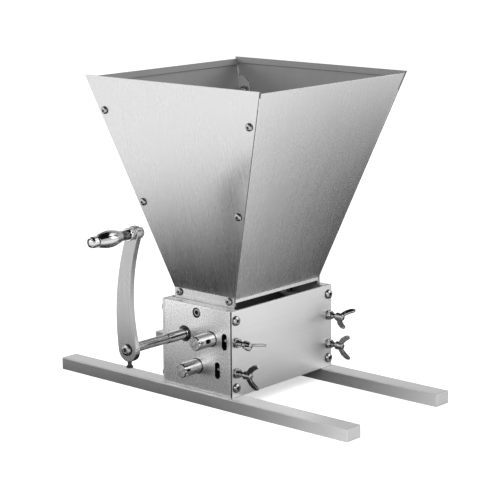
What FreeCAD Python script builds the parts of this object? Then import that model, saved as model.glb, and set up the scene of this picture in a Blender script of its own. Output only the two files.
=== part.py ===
import FreeCAD, Part
import os
import Sketcher
from types import SimpleNamespace

# A hand-cranked three-roller grain mill with a sheet-metal hopper, standing on two rails.
# X runs along the rollers with the crank at -X, the clamping wing screws face -Y, +Z is up,
# and the origin is on the floor under the middle of the roller box. Lengths are in millimetres.

SIZES = {
    # Rails, roller box plates
    "rail_width": 20.0,
    "rail_height": 12.5,
    "rail_length": 370.0,
    "rail_overhang": 4.0,
    "rail_edge": 0.8,
    "end_plate": 11.0,
    "side_plate": 2.5,
    # Rollers and the gaps that the grain is crushed in
    "roller_diameter": 31.75,
    "roller_length": 127.0,
    "roller_end_gap": 0.5,
    "roller_edge": 1.0,
    "journal_diameter": 10.0,
    "journal_length": 7.4,
    "upper_gap": 1.75,
    "lower_gap": 1.57,
    "drive_offset": 15.5,
    "under_room": 8.125,
    "top_room": 14.6,
    "side_room": 8.625,
    # Drive shaft and its plain bushes
    "shaft_step": 25.0,
    "nose_diameter": 9.0,
    "far_recess": 1.0,
    "bush_diameter": 16.0,
    "bush_nose": 2.0,
    "bush_nose_diameter": 11.6,
    # Eccentric adjusters
    "eccentricity": 1.0,
    "knob_diameter": 14.0,
    "knob_length": 23.0,
    "knob_edge": 0.8,
    "cam_diameter": 20.0,
    "cam_length": 8.0,
    "notch_width": 1.6,
    "notch_depth": 2.0,
    "notch_length": 2.5,
    "axial_play": 0.1,
    "running_play": 0.05,
    "fixed_play": 0.02,
    # Wing screws with their nuts, and the windows for the captive nuts
    "thread_diameter": 5.0,
    "tip_play": 0.3,
    "nut_flats": 8.0,
    "nut_height": 4.0,
    "washer_diameter": 10.0,
    "washer_height": 1.0,
    "hub_start": 11.0,
    "hub_length": 8.0,
    "hub_diameter": 8.5,
    "hub_nose_diameter": 6.5,
    "wing_reach": 28.0,
    "wing_span": 25.0,
    "wing_thickness": 2.2,
    "wing_root": 2.5,
    "wing_rise": 5.0,
    "wing_tip": 3.5,
    "window_width": 6.5,
    "window_height": 16.3,
    # Button-head screws of the side plates and the socket screws of rails and hopper
    "button_diameter": 9.5,
    "button_height": 2.75,
    "button_crown": 4.5,
    "button_length": 16.0,
    "button_margin": 9.3,
    "socket_flats": 3.0,
    "cap_diameter": 8.5,
    "cap_height": 5.0,
    "cap_socket_flats": 4.0,
    "cap_seat": 10.0,
    "rail_screw_offset": 15.0,
    "rail_screw_grip": 6.0,
    "rail_screw_depth": 12.0,
    "hopper_screw_drop": 7.7,
    "hopper_screw_recess": 5.2,
    # Crank arm
    "arm_standoff": 72.0,
    "arm_thickness": 6.0,
    "arm_hub_radius": 11.5,
    "arm_end_radius": 7.0,
    "arm_reach": 111.0,
    "arm_lean": 9.5,
    "arm_outer_radius": 220.0,
    "arm_inner_radius": 165.0,
    "arm_edge": 0.6,
    "end_screw_diameter": 11.0,
    "end_screw_height": 3.0,
    "end_screw_crown": 7.0,
    "end_screw_shank": 5.0,
    "end_screw_length": 12.0,
    "set_screw_diameter": 4.0,
    "set_screw_stem": 4.0,
    "set_screw_head": 6.6,
    "set_screw_head_height": 2.2,
    # Turning grip
    "spindle_diameter": 6.0,
    "spindle_hex": 10.0,
    "spindle_hex_length": 4.5,
    "spindle_collar": 12.5,
    "spindle_collar_length": 2.0,
    "spindle_nut_height": 5.0,
    "spindle_proud": 0.5,
    "grip_play": 0.3,
    "grip_length": 46.0,
    "grip_neck": 9.3,
    "grip_belly": 16.0,
    "grip_tip": 10.4,
    "grip_neck_length": 6.0,
    "grip_belly_start": 16.0,
    "grip_belly_end": 23.0,
    "grip_groove": 38.0,
    "grip_groove_width": 1.4,
    "grip_groove_depth": 0.9,
    "grip_nose": 3.0,
    "grip_seat": 8.0,
    "grip_seat_depth": 2.4,
    "tip_screw_diameter": 7.2,
    "tip_screw_height": 2.0,
    "tip_screw_shank": 3.0,
    "tip_screw_length": 8.0,
    # Hopper
    "sheet": 1.2,
    "mouth_length": 218.0,
    "mouth_width": 218.6,
    "hopper_height": 214.1,
    "rim_step": 2.0,
    "hem": 6.0,
    "collar_play": 0.1,
    "collar_height": 10.0,
    "collar_drop": 12.0,
    "throat_width": 77.4,
    "side_collar_height": 3.5,
    "side_gap": 5.0,
    "panel_play": 0.05,
    "tab_width": 15.0,
    "tab_foot": 1.5,
    "tab_top_margin": 18.0,
    "tab_corner": 6.0,
    "panel_screw": 4.0,
    "panel_screw_head": 7.5,
    "panel_screw_head_height": 2.4,
    "panel_screw_length": 8.0,
    "panel_nut_flats": 7.0,
    "panel_nut_height": 3.2,
    "panel_screw_inset": 7.0,
    "panel_screw_top": 33.0,
    "panel_screw_foot": 4.0,
}


class Size:
    """A length that carries both its expression on the sheet and its present value."""

    def __init__(self, text, value):
        self.text = text
        self.value = value

    def joined(self, sign, other, value):
        return Size(f"({self.text} {sign} {other.text})", value)

    def __add__(self, other):
        other = as_size(other)
        return self.joined("+", other, self.value + other.value)

    def __sub__(self, other):
        other = as_size(other)
        return self.joined("-", other, self.value - other.value)

    def __mul__(self, other):
        other = as_size(other)
        return self.joined("*", other, self.value * other.value)

    def __truediv__(self, other):
        other = as_size(other)
        return self.joined("/", other, self.value / other.value)

    def __neg__(self):
        return Size(f"(0 - {self.text})", -self.value)

    def root(self):
        return Size(f"sqrt({self.text})", self.value ** 0.5)


def as_size(number):
    return number if isinstance(number, Size) else Size(f"{float(number):.6f}", float(number))


doc = FreeCAD.newDocument("GrainMill")
sheet = doc.addObject("Spreadsheet::Sheet", "Sizes")
for row, (name, number) in enumerate(SIZES.items(), start=1):
    sheet.set(f"A{row}", name)
    sheet.set(f"B{row}", str(number))
    sheet.setAlias(f"B{row}", name)
doc.recompute()
d = SimpleNamespace(**{name: Size("Sizes." + name, float(sheet.get(name))) for name in SIZES})
zero = as_size(0.0)
parts = []

# Places that several pieces share, worked out from the sizes above
roller_radius = d.roller_diameter / 2
inner_half = d.roller_length / 2 + d.roller_end_gap
outer_half = inner_half + d.end_plate
plate_middle = inner_half + d.end_plate / 2
centre_span = d.roller_diameter + d.lower_gap
lower_height = d.rail_height + d.under_room + roller_radius
drive_rise = (centre_span * centre_span - d.drive_offset * d.drive_offset).root()
drive_height = lower_height + drive_rise
upper_offset = d.drive_offset - d.roller_diameter - d.upper_gap
box_top = drive_height + roller_radius + d.top_room
inner_width = roller_radius - upper_offset + d.side_room
box_width = inner_width + d.side_plate
bore_diameter = d.journal_diameter + d.running_play * 2
hole_diameter = d.thread_diameter + d.running_play * 2
screw_low = d.rail_height + d.button_margin
screw_high = box_top - d.button_margin
fixing_height = box_top - d.hopper_screw_drop
arm_inner = outer_half + d.arm_standoff
arm_outer = arm_inner + d.arm_thickness
grip_across = d.drive_offset - d.arm_lean
grip_height = drive_height + d.arm_reach


def listed(label, thing):
    """Give a finished sub-part its name and put it on the list of files to write."""
    thing.Label = label
    parts.append(thing)
    return thing


def origin_plane(body, role):
    return next(plane for plane in body.Origin.OriginFeatures if plane.Role == role)


def sketch_on(body, role, at=zero):
    sketch = body.newObject("Sketcher::SketchObject", "Outline")
    sketch.AttachmentSupport = [(origin_plane(body, role), "")]
    sketch.MapMode = "FlatFace"
    sketch.setExpression("AttachmentOffset.Base.z", at.text)
    return sketch


def pin(sketch, geometry, point, across, up):
    for kind, place in (("DistanceX", across), ("DistanceY", up)):
        row = sketch.addConstraint(Sketcher.Constraint(kind, -1, 1, geometry, point, place.value))
        sketch.setExpression(f"Constraints[{row}]", place.text)


def add_polygon(sketch, points):
    first = len(sketch.Geometry)
    corners = [FreeCAD.Vector(across.value, up.value, 0) for across, up in points]
    count = len(corners)
    for index in range(count):
        line = Part.LineSegment(corners[index], corners[(index + 1) % count])
        sketch.addGeometry(line, False)
    for index in range(count):
        follower = first + (index + 1) % count
        sketch.addConstraint(Sketcher.Constraint("Coincident", first + index, 2, follower, 1))
    for index, (across, up) in enumerate(points):
        pin(sketch, first + index, 1, across, up)


def add_circle(sketch, across, up, diameter):
    centre = FreeCAD.Vector(across.value, up.value, 0)
    index = sketch.addGeometry(Part.Circle(centre, FreeCAD.Vector(0, 0, 1), diameter.value / 2), False)
    pin(sketch, index, 3, across, up)
    row = sketch.addConstraint(Sketcher.Constraint("Diameter", index, diameter.value))
    sketch.setExpression(f"Constraints[{row}]", diameter.text)


def rectangle(left, low, right, high):
    return [(left, low), (right, low), (right, high), (left, high)]


def hexagon(flats):
    """Corners of a hexagon about the origin, with two flats level."""
    corner = flats / (3 ** 0.5)
    half = corner / 2
    apothem = flats / 2
    return [(corner, zero), (half, apothem), (-half, apothem), (-corner, zero),
            (-half, -apothem), (half, -apothem)]


def pad(body, sketch, length, reverse=False, both_ways=False):
    feature = body.newObject("PartDesign::Pad", "Pad")
    feature.Profile = sketch
    feature.setExpression("Length", length.text)
    feature.Reversed = reverse
    if both_ways:
        feature.SideType = "Symmetric"
    return feature


def cut(body, role, at, depth, circles=(), outlines=()):
    """Sink holes and outlines, as deep as asked, from the plane that the sketch lies on."""
    sketch = sketch_on(body, role, at)
    for across, up, diameter in circles:
        add_circle(sketch, across, up, diameter)
    for points in outlines:
        add_polygon(sketch, points)
    feature = body.newObject("PartDesign::Pocket", "Pocket")
    feature.Profile = sketch
    feature.SideType = "Symmetric"
    feature.setExpression("Length", (depth * 2).text)
    return feature


def new_body(name, x=zero, y=zero, z=zero, rotation=None):
    body = doc.addObject("PartDesign::Body", name)
    if rotation is not None:
        body.Placement = FreeCAD.Placement(FreeCAD.Vector(), rotation)
    for letter, place in (("x", x), ("y", y), ("z", z)):
        body.setExpression(f"Placement.Base.{letter}", place.text)
    return body


def turned(name, profile, x=zero, y=zero, z=zero, rotation=None):
    """A lathe piece about its own X axis, from points along and out from the axis."""
    body = new_body(name, x, y, z, rotation)
    sketch = sketch_on(body, "XZ_Plane")
    add_polygon(sketch, profile)
    feature = body.newObject("PartDesign::Revolution", "Turning")
    feature.Profile = sketch
    feature.ReferenceAxis = (sketch, ["H_Axis"])
    feature.Angle = 360
    return body


def mirrored(label, source, normal):
    copy = doc.addObject("Part::Mirroring", label)
    copy.Source = source
    copy.Normal = normal
    return listed(label, copy)


def group(label, seed, placements):
    """Like pieces in one node: copies of a seed piece, each a solid of its own."""
    doc.recompute()
    pieces = []
    for placement in placements:
        piece = seed.Shape.copy()
        piece.Placement = placement.multiply(seed.Placement)
        pieces.append(piece)
    node = doc.addObject("Part::Feature", label)
    node.Shape = Part.makeCompound(pieces)
    return listed(label, node)


def at_point(x, y, z, rotation=None):
    return FreeCAD.Placement(FreeCAD.Vector(x, y, z), rotation or FreeCAD.Rotation())


ALONG_X = FreeCAD.Vector(1, 0, 0)
ALONG_Y = FreeCAD.Vector(0, 1, 0)
ALONG_Z = FreeCAD.Vector(0, 0, 1)
FACING_FRONT = FreeCAD.Rotation(ALONG_Z, -90)
FACING_BACK = FreeCAD.Rotation(ALONG_Z, 90)
FACING_NEAR = FreeCAD.Rotation(ALONG_Z, 180)
FACING_FAR = FreeCAD.Rotation()
FACING_DOWN = FreeCAD.Rotation(ALONG_Y, 90)

# Rails: two solid bars across the box, with broken edges, counterbored from below for their screws
rail_start = outer_half + d.rail_overhang
rail_end = rail_start - d.rail_width
near_rail = new_body("near_rail")
rail_sketch = sketch_on(near_rail, "XZ_Plane")
add_polygon(rail_sketch, [
    (-rail_start, d.rail_edge), (d.rail_edge - rail_start, zero),
    (-rail_end - d.rail_edge, zero), (-rail_end, d.rail_edge),
    (-rail_end, d.rail_height - d.rail_edge), (-rail_end - d.rail_edge, d.rail_height),
    (d.rail_edge - rail_start, d.rail_height), (-rail_start, d.rail_height - d.rail_edge)])
pad(near_rail, rail_sketch, d.rail_length, both_ways=True)
rail_seats = [(-plate_middle, side, d.cap_seat) for side in (d.rail_screw_offset, -d.rail_screw_offset)]
rail_holes = [(-plate_middle, side, hole_diameter) for side in (d.rail_screw_offset, -d.rail_screw_offset)]
cut(near_rail, "XY_Plane", zero, d.rail_height - d.rail_screw_grip, rail_seats)
cut(near_rail, "XY_Plane", zero, d.rail_height * 2, rail_holes)
listed("near_rail", near_rail)
mirrored("far_rail", near_rail, ALONG_X)

# End plates: thick bead-blasted plates that carry the bushes and adjusters
near_plate = new_body("near_end_plate")
plate_sketch = sketch_on(near_plate, "YZ_Plane", -outer_half)
add_polygon(plate_sketch, rectangle(-inner_width, d.rail_height, inner_width, box_top))
pad(near_plate, plate_sketch, d.end_plate)
lip_diameter = d.knob_diameter + d.running_play * 2
pocket_diameter = d.cam_diameter + d.running_play * 2
adjusters = [(upper_offset, drive_height), (zero, lower_height)]
through = d.end_plate * 2
cut(near_plate, "YZ_Plane", -outer_half, through, [(y, z, lip_diameter) for y, z in adjusters])
cut(near_plate, "YZ_Plane", -inner_half, d.cam_length + d.axial_play,
    [(y, z, pocket_diameter) for y, z in adjusters])
cut(near_plate, "YZ_Plane", -outer_half, through,
    [(d.drive_offset, drive_height, d.bush_diameter + d.fixed_play * 2)])
cut(near_plate, "YZ_Plane", -outer_half, d.hopper_screw_recess, [(zero, fixing_height, d.cap_seat)])
cut(near_plate, "YZ_Plane", -outer_half, through, [(zero, fixing_height, hole_diameter)])

# Windows beside the adjusters, half way from the edge of the plate to the adjuster's cam
window_places = []
window_half = d.window_width / 2
window_straight = (d.window_height - d.window_width) / 2
for adjuster_y, adjuster_z in adjusters:
    window_y = (adjuster_y - d.cam_diameter / 2 - inner_width) / 2
    window_places.append((window_y, adjuster_z))
    ends = [(window_y, adjuster_z + window_straight, d.window_width)]
    cut(near_plate, "YZ_Plane", -outer_half, through, ends)
    ends = [(window_y, adjuster_z - window_straight, d.window_width)]
    cut(near_plate, "YZ_Plane", -outer_half, through, ends)
    straight = rectangle(window_y - window_half, adjuster_z - window_straight,
                         window_y + window_half, adjuster_z + window_straight)
    cut(near_plate, "YZ_Plane", -outer_half, through, outlines=[straight])

# Tapped holes in the edges of the end plates: clamping screws, side-plate screws, rail screws
for adjuster_y, adjuster_z in adjusters:
    cut(near_plate, "XZ_Plane", inner_width, inner_width + adjuster_y,
        [(-plate_middle, adjuster_z, hole_diameter)])
button_depth = d.button_length - d.side_plate + d.fixed_play
for edge in (inner_width, -inner_width):
    cut(near_plate, "XZ_Plane", edge, button_depth,
        [(-plate_middle, height, hole_diameter) for height in (screw_low, screw_high)])
cut(near_plate, "XY_Plane", d.rail_height, d.rail_screw_depth,
    [(-plate_middle, side, hole_diameter) for side in (d.rail_screw_offset, -d.rail_screw_offset)])
listed("near_end_plate", near_plate)
mirrored("far_end_plate", near_plate, ALONG_X)

# Side plates: thin sheets screwed to the edges of the end plates
corner_holes = [(x, z, hole_diameter) for x in (-plate_middle, plate_middle) for z in (screw_low, screw_high)]
front_holes = [(x, z, hole_diameter) for x in (-plate_middle, plate_middle)
               for z in (drive_height, lower_height)]
for label, face, toward_front, clamp_holes in (("front_side_plate", box_width, False, front_holes),
                                               ("back_side_plate", -box_width, True, [])):
    side = new_body(label)
    side_sketch = sketch_on(side, "XZ_Plane", face)
    add_polygon(side_sketch, rectangle(-outer_half, d.rail_height, outer_half, box_top))
    pad(side, side_sketch, d.side_plate, reverse=not toward_front)
    cut(side, "XZ_Plane", face, d.side_plate * 2, corner_holes + clamp_holes)
    listed(label, side)

# Plain bushes of the drive shaft; the near one has a nose that stands out of its plate
near_bush = turned("near_drive_bush", [
    (-outer_half - d.bush_nose, bore_diameter / 2), (-inner_half, bore_diameter / 2),
    (-inner_half, d.bush_diameter / 2), (-outer_half, d.bush_diameter / 2),
    (-outer_half, d.bush_nose_diameter / 2), (-outer_half - d.bush_nose, d.bush_nose_diameter / 2)],
    y=d.drive_offset, z=drive_height)
listed("near_drive_bush", near_bush)
far_bush = turned("far_drive_bush", [
    (inner_half, bore_diameter / 2), (outer_half, bore_diameter / 2),
    (outer_half, d.bush_diameter / 2), (inner_half, d.bush_diameter / 2)],
    y=d.drive_offset, z=drive_height)
listed("far_drive_bush", far_bush)

# Rollers: steel bars turned down at both ends; the driven one runs out into the crank's shaft
roller_half = d.roller_length / 2
journal_radius = d.journal_diameter / 2
roller_shoulder = roller_radius - d.roller_edge
shaft_end = arm_outer - d.axial_play
drive_roller = turned("drive_roller", [
    (-shaft_end, zero), (outer_half - d.far_recess, zero),
    (outer_half - d.far_recess, journal_radius), (roller_half, journal_radius),
    (roller_half, roller_shoulder), (roller_half - d.roller_edge, roller_radius),
    (d.roller_edge - roller_half, roller_radius), (-roller_half, roller_shoulder),
    (-roller_half, journal_radius), (-outer_half - d.shaft_step, journal_radius),
    (-outer_half - d.shaft_step, d.nose_diameter / 2), (-shaft_end, d.nose_diameter / 2)],
    y=d.drive_offset, z=drive_height)
cut(drive_roller, "YZ_Plane", -shaft_end, d.end_screw_length + d.axial_play,
    [(zero, zero, d.end_screw_shank + d.fixed_play * 2)])
listed("drive_roller", drive_roller)

# Each adjustable roller rests with its eccentric square to the line to the drive roller
swing_y = d.eccentricity * drive_rise / centre_span
swing_z = -(d.eccentricity * d.drive_offset / centre_span)
upper_shift = (zero, d.eccentricity)
lower_shift = (swing_y, swing_z)
journal_end = roller_half + d.journal_length
idle_profile = [
    (-journal_end, zero), (journal_end, zero), (journal_end, journal_radius),
    (roller_half, journal_radius), (roller_half, roller_shoulder),
    (roller_half - d.roller_edge, roller_radius), (d.roller_edge - roller_half, roller_radius),
    (-roller_half, roller_shoulder), (-roller_half, journal_radius), (-journal_end, journal_radius)]
cam_start = inner_half + d.cam_length
knob_end = outer_half + d.knob_length
for level, (adjuster_y, adjuster_z), (shift_y, shift_z) in (("upper", adjusters[0], upper_shift),
                                                          ("lower", adjusters[1], lower_shift)):
    roller = turned(level + "_roller", idle_profile, y=adjuster_y + shift_y, z=adjuster_z + shift_z)
    listed(level + "_roller", roller)
    # Adjuster: a cam in the end plate with an eccentric bore, and a round knob outside
    adjuster = turned(level + "_near_adjuster", [
        (-knob_end, zero), (-inner_half, zero), (-inner_half, d.cam_diameter / 2),
        (-cam_start, d.cam_diameter / 2), (-cam_start, d.knob_diameter / 2),
        (d.knob_edge - knob_end, d.knob_diameter / 2), (-knob_end, d.knob_diameter / 2 - d.knob_edge)],
        y=adjuster_y, z=adjuster_z)
    cut(adjuster, "YZ_Plane", -inner_half, d.cam_length, [(shift_y, shift_z, bore_diameter)])
    notch = rectangle(d.knob_diameter / 2 - d.notch_depth, -d.notch_width / 2,
                      d.knob_diameter, d.notch_width / 2)
    cut(adjuster, "YZ_Plane", -knob_end, d.notch_length, outlines=[notch])
    listed(level + "_near_adjuster", adjuster)
    mirrored(level + "_far_adjuster", adjuster, ALONG_X)

# Wing screws: a threaded shank, a turned hub and two splayed wings, turned out from the plate edge
shank_radius = d.thread_diameter / 2
hub_end = d.hub_start + d.hub_length
wing_half = d.wing_span / 2
wing_outline = [
    (d.hub_start + d.wing_root, d.wing_root),
    (d.hub_start + d.wing_root + d.wing_rise, wing_half - d.wing_tip),
    (d.wing_reach - d.wing_tip, wing_half), (d.wing_reach, wing_half - d.wing_tip / 2),
    (d.wing_reach - d.wing_tip / 2, wing_half - d.wing_tip), (hub_end, d.wing_root)]
wing_screws = [
    ("upper_near_wing_screw", -plate_middle, -box_width, drive_height,
     inner_width + upper_offset - d.cam_diameter / 2, FACING_FRONT, 90),
    ("lower_near_wing_screw", -plate_middle, -box_width, lower_height,
     inner_width - d.cam_diameter / 2, FACING_FRONT, 0),
    ("upper_far_wing_screw", plate_middle, -box_width, drive_height,
     inner_width + upper_offset - d.cam_diameter / 2, FACING_FRONT, 130),
    ("lower_far_wing_screw", plate_middle, -box_width, lower_height,
     inner_width - d.cam_diameter / 2, FACING_FRONT, 0)]
for label, x, y, z, reach, facing, turn in wing_screws:
    tip = d.tip_play - d.side_plate - reach
    screw = turned(label, [
        (tip, zero), (hub_end, zero), (hub_end, d.hub_nose_diameter / 2),
        (d.hub_start, d.hub_diameter / 2), (d.hub_start, shank_radius), (tip, shank_radius)],
        x, y, z, facing.multiply(FreeCAD.Rotation(ALONG_X, turn)))
    wing_sketch = sketch_on(screw, "XZ_Plane")
    add_polygon(wing_sketch, wing_outline)
    add_polygon(wing_sketch, [(along, -out) for along, out in wing_outline])
    pad(screw, wing_sketch, d.wing_thickness, both_ways=True)
    listed(label, screw)

# Lock nuts and washers on the wing screws, and the captive nuts in the windows
washer_seed = turned("washer_seed", [
    (zero, hole_diameter / 2), (d.washer_height, hole_diameter / 2),
    (d.washer_height, d.washer_diameter / 2), (zero, d.washer_diameter / 2)])


def nut_seed(name, flats, height, hole):
    body = new_body(name)
    sketch = sketch_on(body, "YZ_Plane")
    add_polygon(sketch, hexagon(flats))
    add_circle(sketch, zero, zero, hole)
    pad(body, sketch, height)
    return body


lock_nut_seed = nut_seed("nut_seed", d.nut_flats, d.nut_height, hole_diameter)
washer_places = []
nut_places = []
for label, x, y, z, reach, facing, turn in wing_screws:
    outward = facing.multVec(ALONG_X)
    seat = FreeCAD.Vector(x.value, y.value, z.value)
    washer_places.append(FreeCAD.Placement(seat, facing))
    nut_places.append(FreeCAD.Placement(seat + outward * d.washer_height.value, facing))
group("clamp_washers", washer_seed, washer_places)
group("clamp_lock_nuts", lock_nut_seed, nut_places)
captive_places = []
for x in (-plate_middle, plate_middle):
    for window_y, window_z in window_places:
        captive_places.append(at_point(x.value, (window_y - window_half).value + d.nut_height.value,
                                       window_z.value, FACING_FRONT))
group("captive_nuts", lock_nut_seed, captive_places)


def headed_screw(name, shank, length, head, height, crown, flats, socket):
    """A screw that points along -X with its head standing on the plane x = 0."""
    body = turned(name, [
        (-length, zero), (height, zero), (height, crown / 2), (height / 2, head / 2),
        (zero, head / 2), (zero, shank / 2), (-length, shank / 2)])
    cut(body, "YZ_Plane", height, socket, outlines=[hexagon(flats)])
    return body


# Side-plate screws: button heads on both faces of the box
button_seed = headed_screw("button_seed", d.thread_diameter, d.button_length, d.button_diameter,
                           d.button_height, d.button_crown, d.socket_flats, d.button_height / 2)
button_places = []
for facing, y in ((FACING_FRONT, -box_width), (FACING_BACK, box_width)):
    for x in (-plate_middle, plate_middle):
        for z in (screw_low, screw_high):
            button_places.append(at_point(x.value, y.value, z.value, facing))
group("side_plate_screws", button_seed, button_places)

# Rail screws: socket heads sunk into the rails from below
rail_screw_length = d.rail_screw_grip + d.rail_screw_depth - d.axial_play
rail_screw_seed = headed_screw("rail_screw_seed", d.thread_diameter, rail_screw_length, d.cap_diameter,
                               d.cap_height, d.cap_diameter - d.roller_edge, d.cap_socket_flats,
                               d.cap_height / 2)
rail_screw_places = []
rail_seat = d.rail_height - d.rail_screw_grip
for x in (-plate_middle, plate_middle):
    for y in (d.rail_screw_offset, -d.rail_screw_offset):
        rail_screw_places.append(at_point(x.value, y.value, rail_seat.value, FACING_DOWN))
group("rail_screws", rail_screw_seed, rail_screw_places)

# Hopper fixing screws: one in each end plate, through the hopper's collar into a nut
fixing_grip = d.end_plate - d.hopper_screw_recess
fixing_length = fixing_grip + d.collar_play + d.sheet + d.nut_height + d.axial_play
fixing_seed = headed_screw("fixing_seed", d.thread_diameter, fixing_length, d.cap_diameter, d.cap_height,
                           d.cap_diameter - d.roller_edge, d.cap_socket_flats, d.cap_height / 2)
fixing_seat = outer_half - d.hopper_screw_recess
group("hopper_fixing_screws", fixing_seed, [
    at_point(-fixing_seat.value, 0, fixing_height.value, FACING_NEAR),
    at_point(fixing_seat.value, 0, fixing_height.value, FACING_FAR)])
collar_outer = inner_half - d.collar_play
collar_inner = collar_outer - d.sheet
group("hopper_fixing_nuts", lock_nut_seed, [
    at_point(-collar_inner.value, 0, fixing_height.value, FACING_FAR),
    at_point(collar_inner.value, 0, fixing_height.value, FACING_NEAR)])


def arm_arc(sketch, centre, radius, start, end):
    """A counterclockwise arc from start to end, with its radius bound to the sheet."""
    circle = Part.Circle(centre, ALONG_Z, radius.value)
    arc = Part.ArcOfCircle(circle, circle.parameter(start), circle.parameter(end))
    index = sketch.addGeometry(arc, False)
    row = sketch.addConstraint(Sketcher.Constraint("Radius", index, radius.value))
    sketch.setExpression(f"Constraints[{row}]", radius.text)
    return index


def crossing(first, first_radius, second, second_radius):
    """Where two circles cross, on the left of the line from the first centre to the second."""
    line = second - first
    gap = line.Length
    along = (first_radius ** 2 - second_radius ** 2 + gap ** 2) / (2 * gap)
    aside = (first_radius ** 2 - along ** 2) ** 0.5
    line.normalize()
    left = FreeCAD.Vector(-line.y, line.x, 0)
    return first + line * along + left * aside


# Crank arm: a flat bar bowed in its own plane, with rounded ends and tangent edges
arm = new_body("crank_arm", -arm_outer, d.drive_offset, drive_height)
arm_sketch = sketch_on(arm, "YZ_Plane")
hub_centre = FreeCAD.Vector(0, 0, 0)
end_centre = FreeCAD.Vector(-d.arm_lean.value, d.arm_reach.value, 0)
hub_r = d.arm_hub_radius.value
end_r = d.arm_end_radius.value
outer_r = d.arm_outer_radius.value
inner_r = d.arm_inner_radius.value
outer_centre = crossing(hub_centre, outer_r - hub_r, end_centre, outer_r - end_r)
inner_centre = crossing(hub_centre, inner_r + hub_r, end_centre, inner_r + end_r)


def toward(start, goal, distance):
    step = goal - start
    step.normalize()
    return start + step * distance


outer_hub = toward(outer_centre, hub_centre, outer_r)
outer_end = toward(outer_centre, end_centre, outer_r)
inner_hub = toward(hub_centre, inner_centre, hub_r)
inner_end = toward(end_centre, inner_centre, end_r)
hub_arc = arm_arc(arm_sketch, hub_centre, d.arm_hub_radius, inner_hub, outer_hub)
outer_arc = arm_arc(arm_sketch, outer_centre, d.arm_outer_radius, outer_hub, outer_end)
end_arc = arm_arc(arm_sketch, end_centre, d.arm_end_radius, outer_end, inner_end)
inner_arc = arm_arc(arm_sketch, inner_centre, d.arm_inner_radius, inner_hub, inner_end)
for one, one_end, other, other_end in ((hub_arc, 2, outer_arc, 1), (outer_arc, 2, end_arc, 1),
                                       (end_arc, 2, inner_arc, 2), (inner_arc, 1, hub_arc, 1)):
    arm_sketch.addConstraint(Sketcher.Constraint("Tangent", one, one_end, other, other_end))
pin(arm_sketch, hub_arc, 3, zero, zero)
pin(arm_sketch, end_arc, 3, -d.arm_lean, d.arm_reach)
arm_pad = pad(arm, arm_sketch, d.arm_thickness)
doc.recompute()
arm_edges = arm.newObject("PartDesign::Chamfer", "BrokenEdges")
arm_edges.Base = (arm_pad, ["Face5", "Face6"])
arm_edges.setExpression("Size", d.arm_edge.text)
cut(arm, "YZ_Plane", zero, d.arm_thickness * 2, [
    (zero, zero, d.nose_diameter + d.fixed_play * 2),
    (-d.arm_lean, d.arm_reach, d.spindle_diameter + d.fixed_play * 2)])
cut(arm, "XY_Plane", -d.arm_hub_radius, d.arm_hub_radius - d.nose_diameter / 2,
    [(d.arm_thickness / 2, zero, d.set_screw_diameter + d.fixed_play * 2)])
listed("crank_arm", arm)

# Crank end screw: a domed screw into the end of the shaft, clamping the arm
end_screw = turned("crank_end_screw", [
    (d.end_screw_length, zero), (-d.end_screw_height, zero), (-d.end_screw_height, d.end_screw_crown / 2),
    (-(d.end_screw_height / 3), d.end_screw_diameter / 2), (zero, d.end_screw_diameter / 2),
    (zero, d.end_screw_shank / 2), (d.end_screw_length, d.end_screw_shank / 2)],
    -arm_outer, d.drive_offset, drive_height)
cut(end_screw, "YZ_Plane", -d.end_screw_height, d.end_screw_height / 2,
    outlines=[hexagon(d.cap_socket_flats)])
listed("crank_end_screw", end_screw)

# Crank set screw: up through the bottom of the hub on to the shaft
stem_end = d.arm_hub_radius + d.set_screw_stem
set_screw = turned("crank_set_screw", [
    (d.nose_diameter / 2 + d.fixed_play, zero), (stem_end + d.set_screw_head_height, zero),
    (stem_end + d.set_screw_head_height, d.set_screw_head / 2), (stem_end, d.set_screw_head / 2 - d.arm_edge),
    (stem_end, d.set_screw_diameter / 2), (d.nose_diameter / 2 + d.fixed_play, d.set_screw_diameter / 2)],
    -arm_outer + d.arm_thickness / 2, d.drive_offset, drive_height, FACING_DOWN)
listed("crank_set_screw", set_screw)

# Grip spindle: a stud through the arm, with a hexagon, a collar and a plain shank for the grip
hex_end = d.spindle_hex_length
collar_end = hex_end + d.spindle_collar_length
sleeve_start = collar_end + d.grip_play
sleeve_end = sleeve_start + d.grip_length
shank_end = sleeve_end - d.grip_seat_depth + d.fixed_play
spindle_tail = d.arm_thickness + d.spindle_nut_height + d.spindle_proud
spindle_radius = d.spindle_diameter / 2
spindle = turned("grip_spindle", [
    (-spindle_tail, zero), (shank_end, zero), (shank_end, spindle_radius), (collar_end, spindle_radius),
    (collar_end, d.spindle_collar / 2), (hex_end, d.spindle_collar / 2), (hex_end, spindle_radius),
    (-spindle_tail, spindle_radius)], -arm_outer, grip_across, grip_height, FACING_NEAR)
hex_sketch = sketch_on(spindle, "YZ_Plane")
add_polygon(hex_sketch, hexagon(d.spindle_hex))
pad(spindle, hex_sketch, hex_end)
cut(spindle, "YZ_Plane", shank_end, d.tip_screw_length + d.axial_play,
    [(zero, zero, d.tip_screw_shank + d.fixed_play * 2)])
listed("grip_spindle", spindle)

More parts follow.
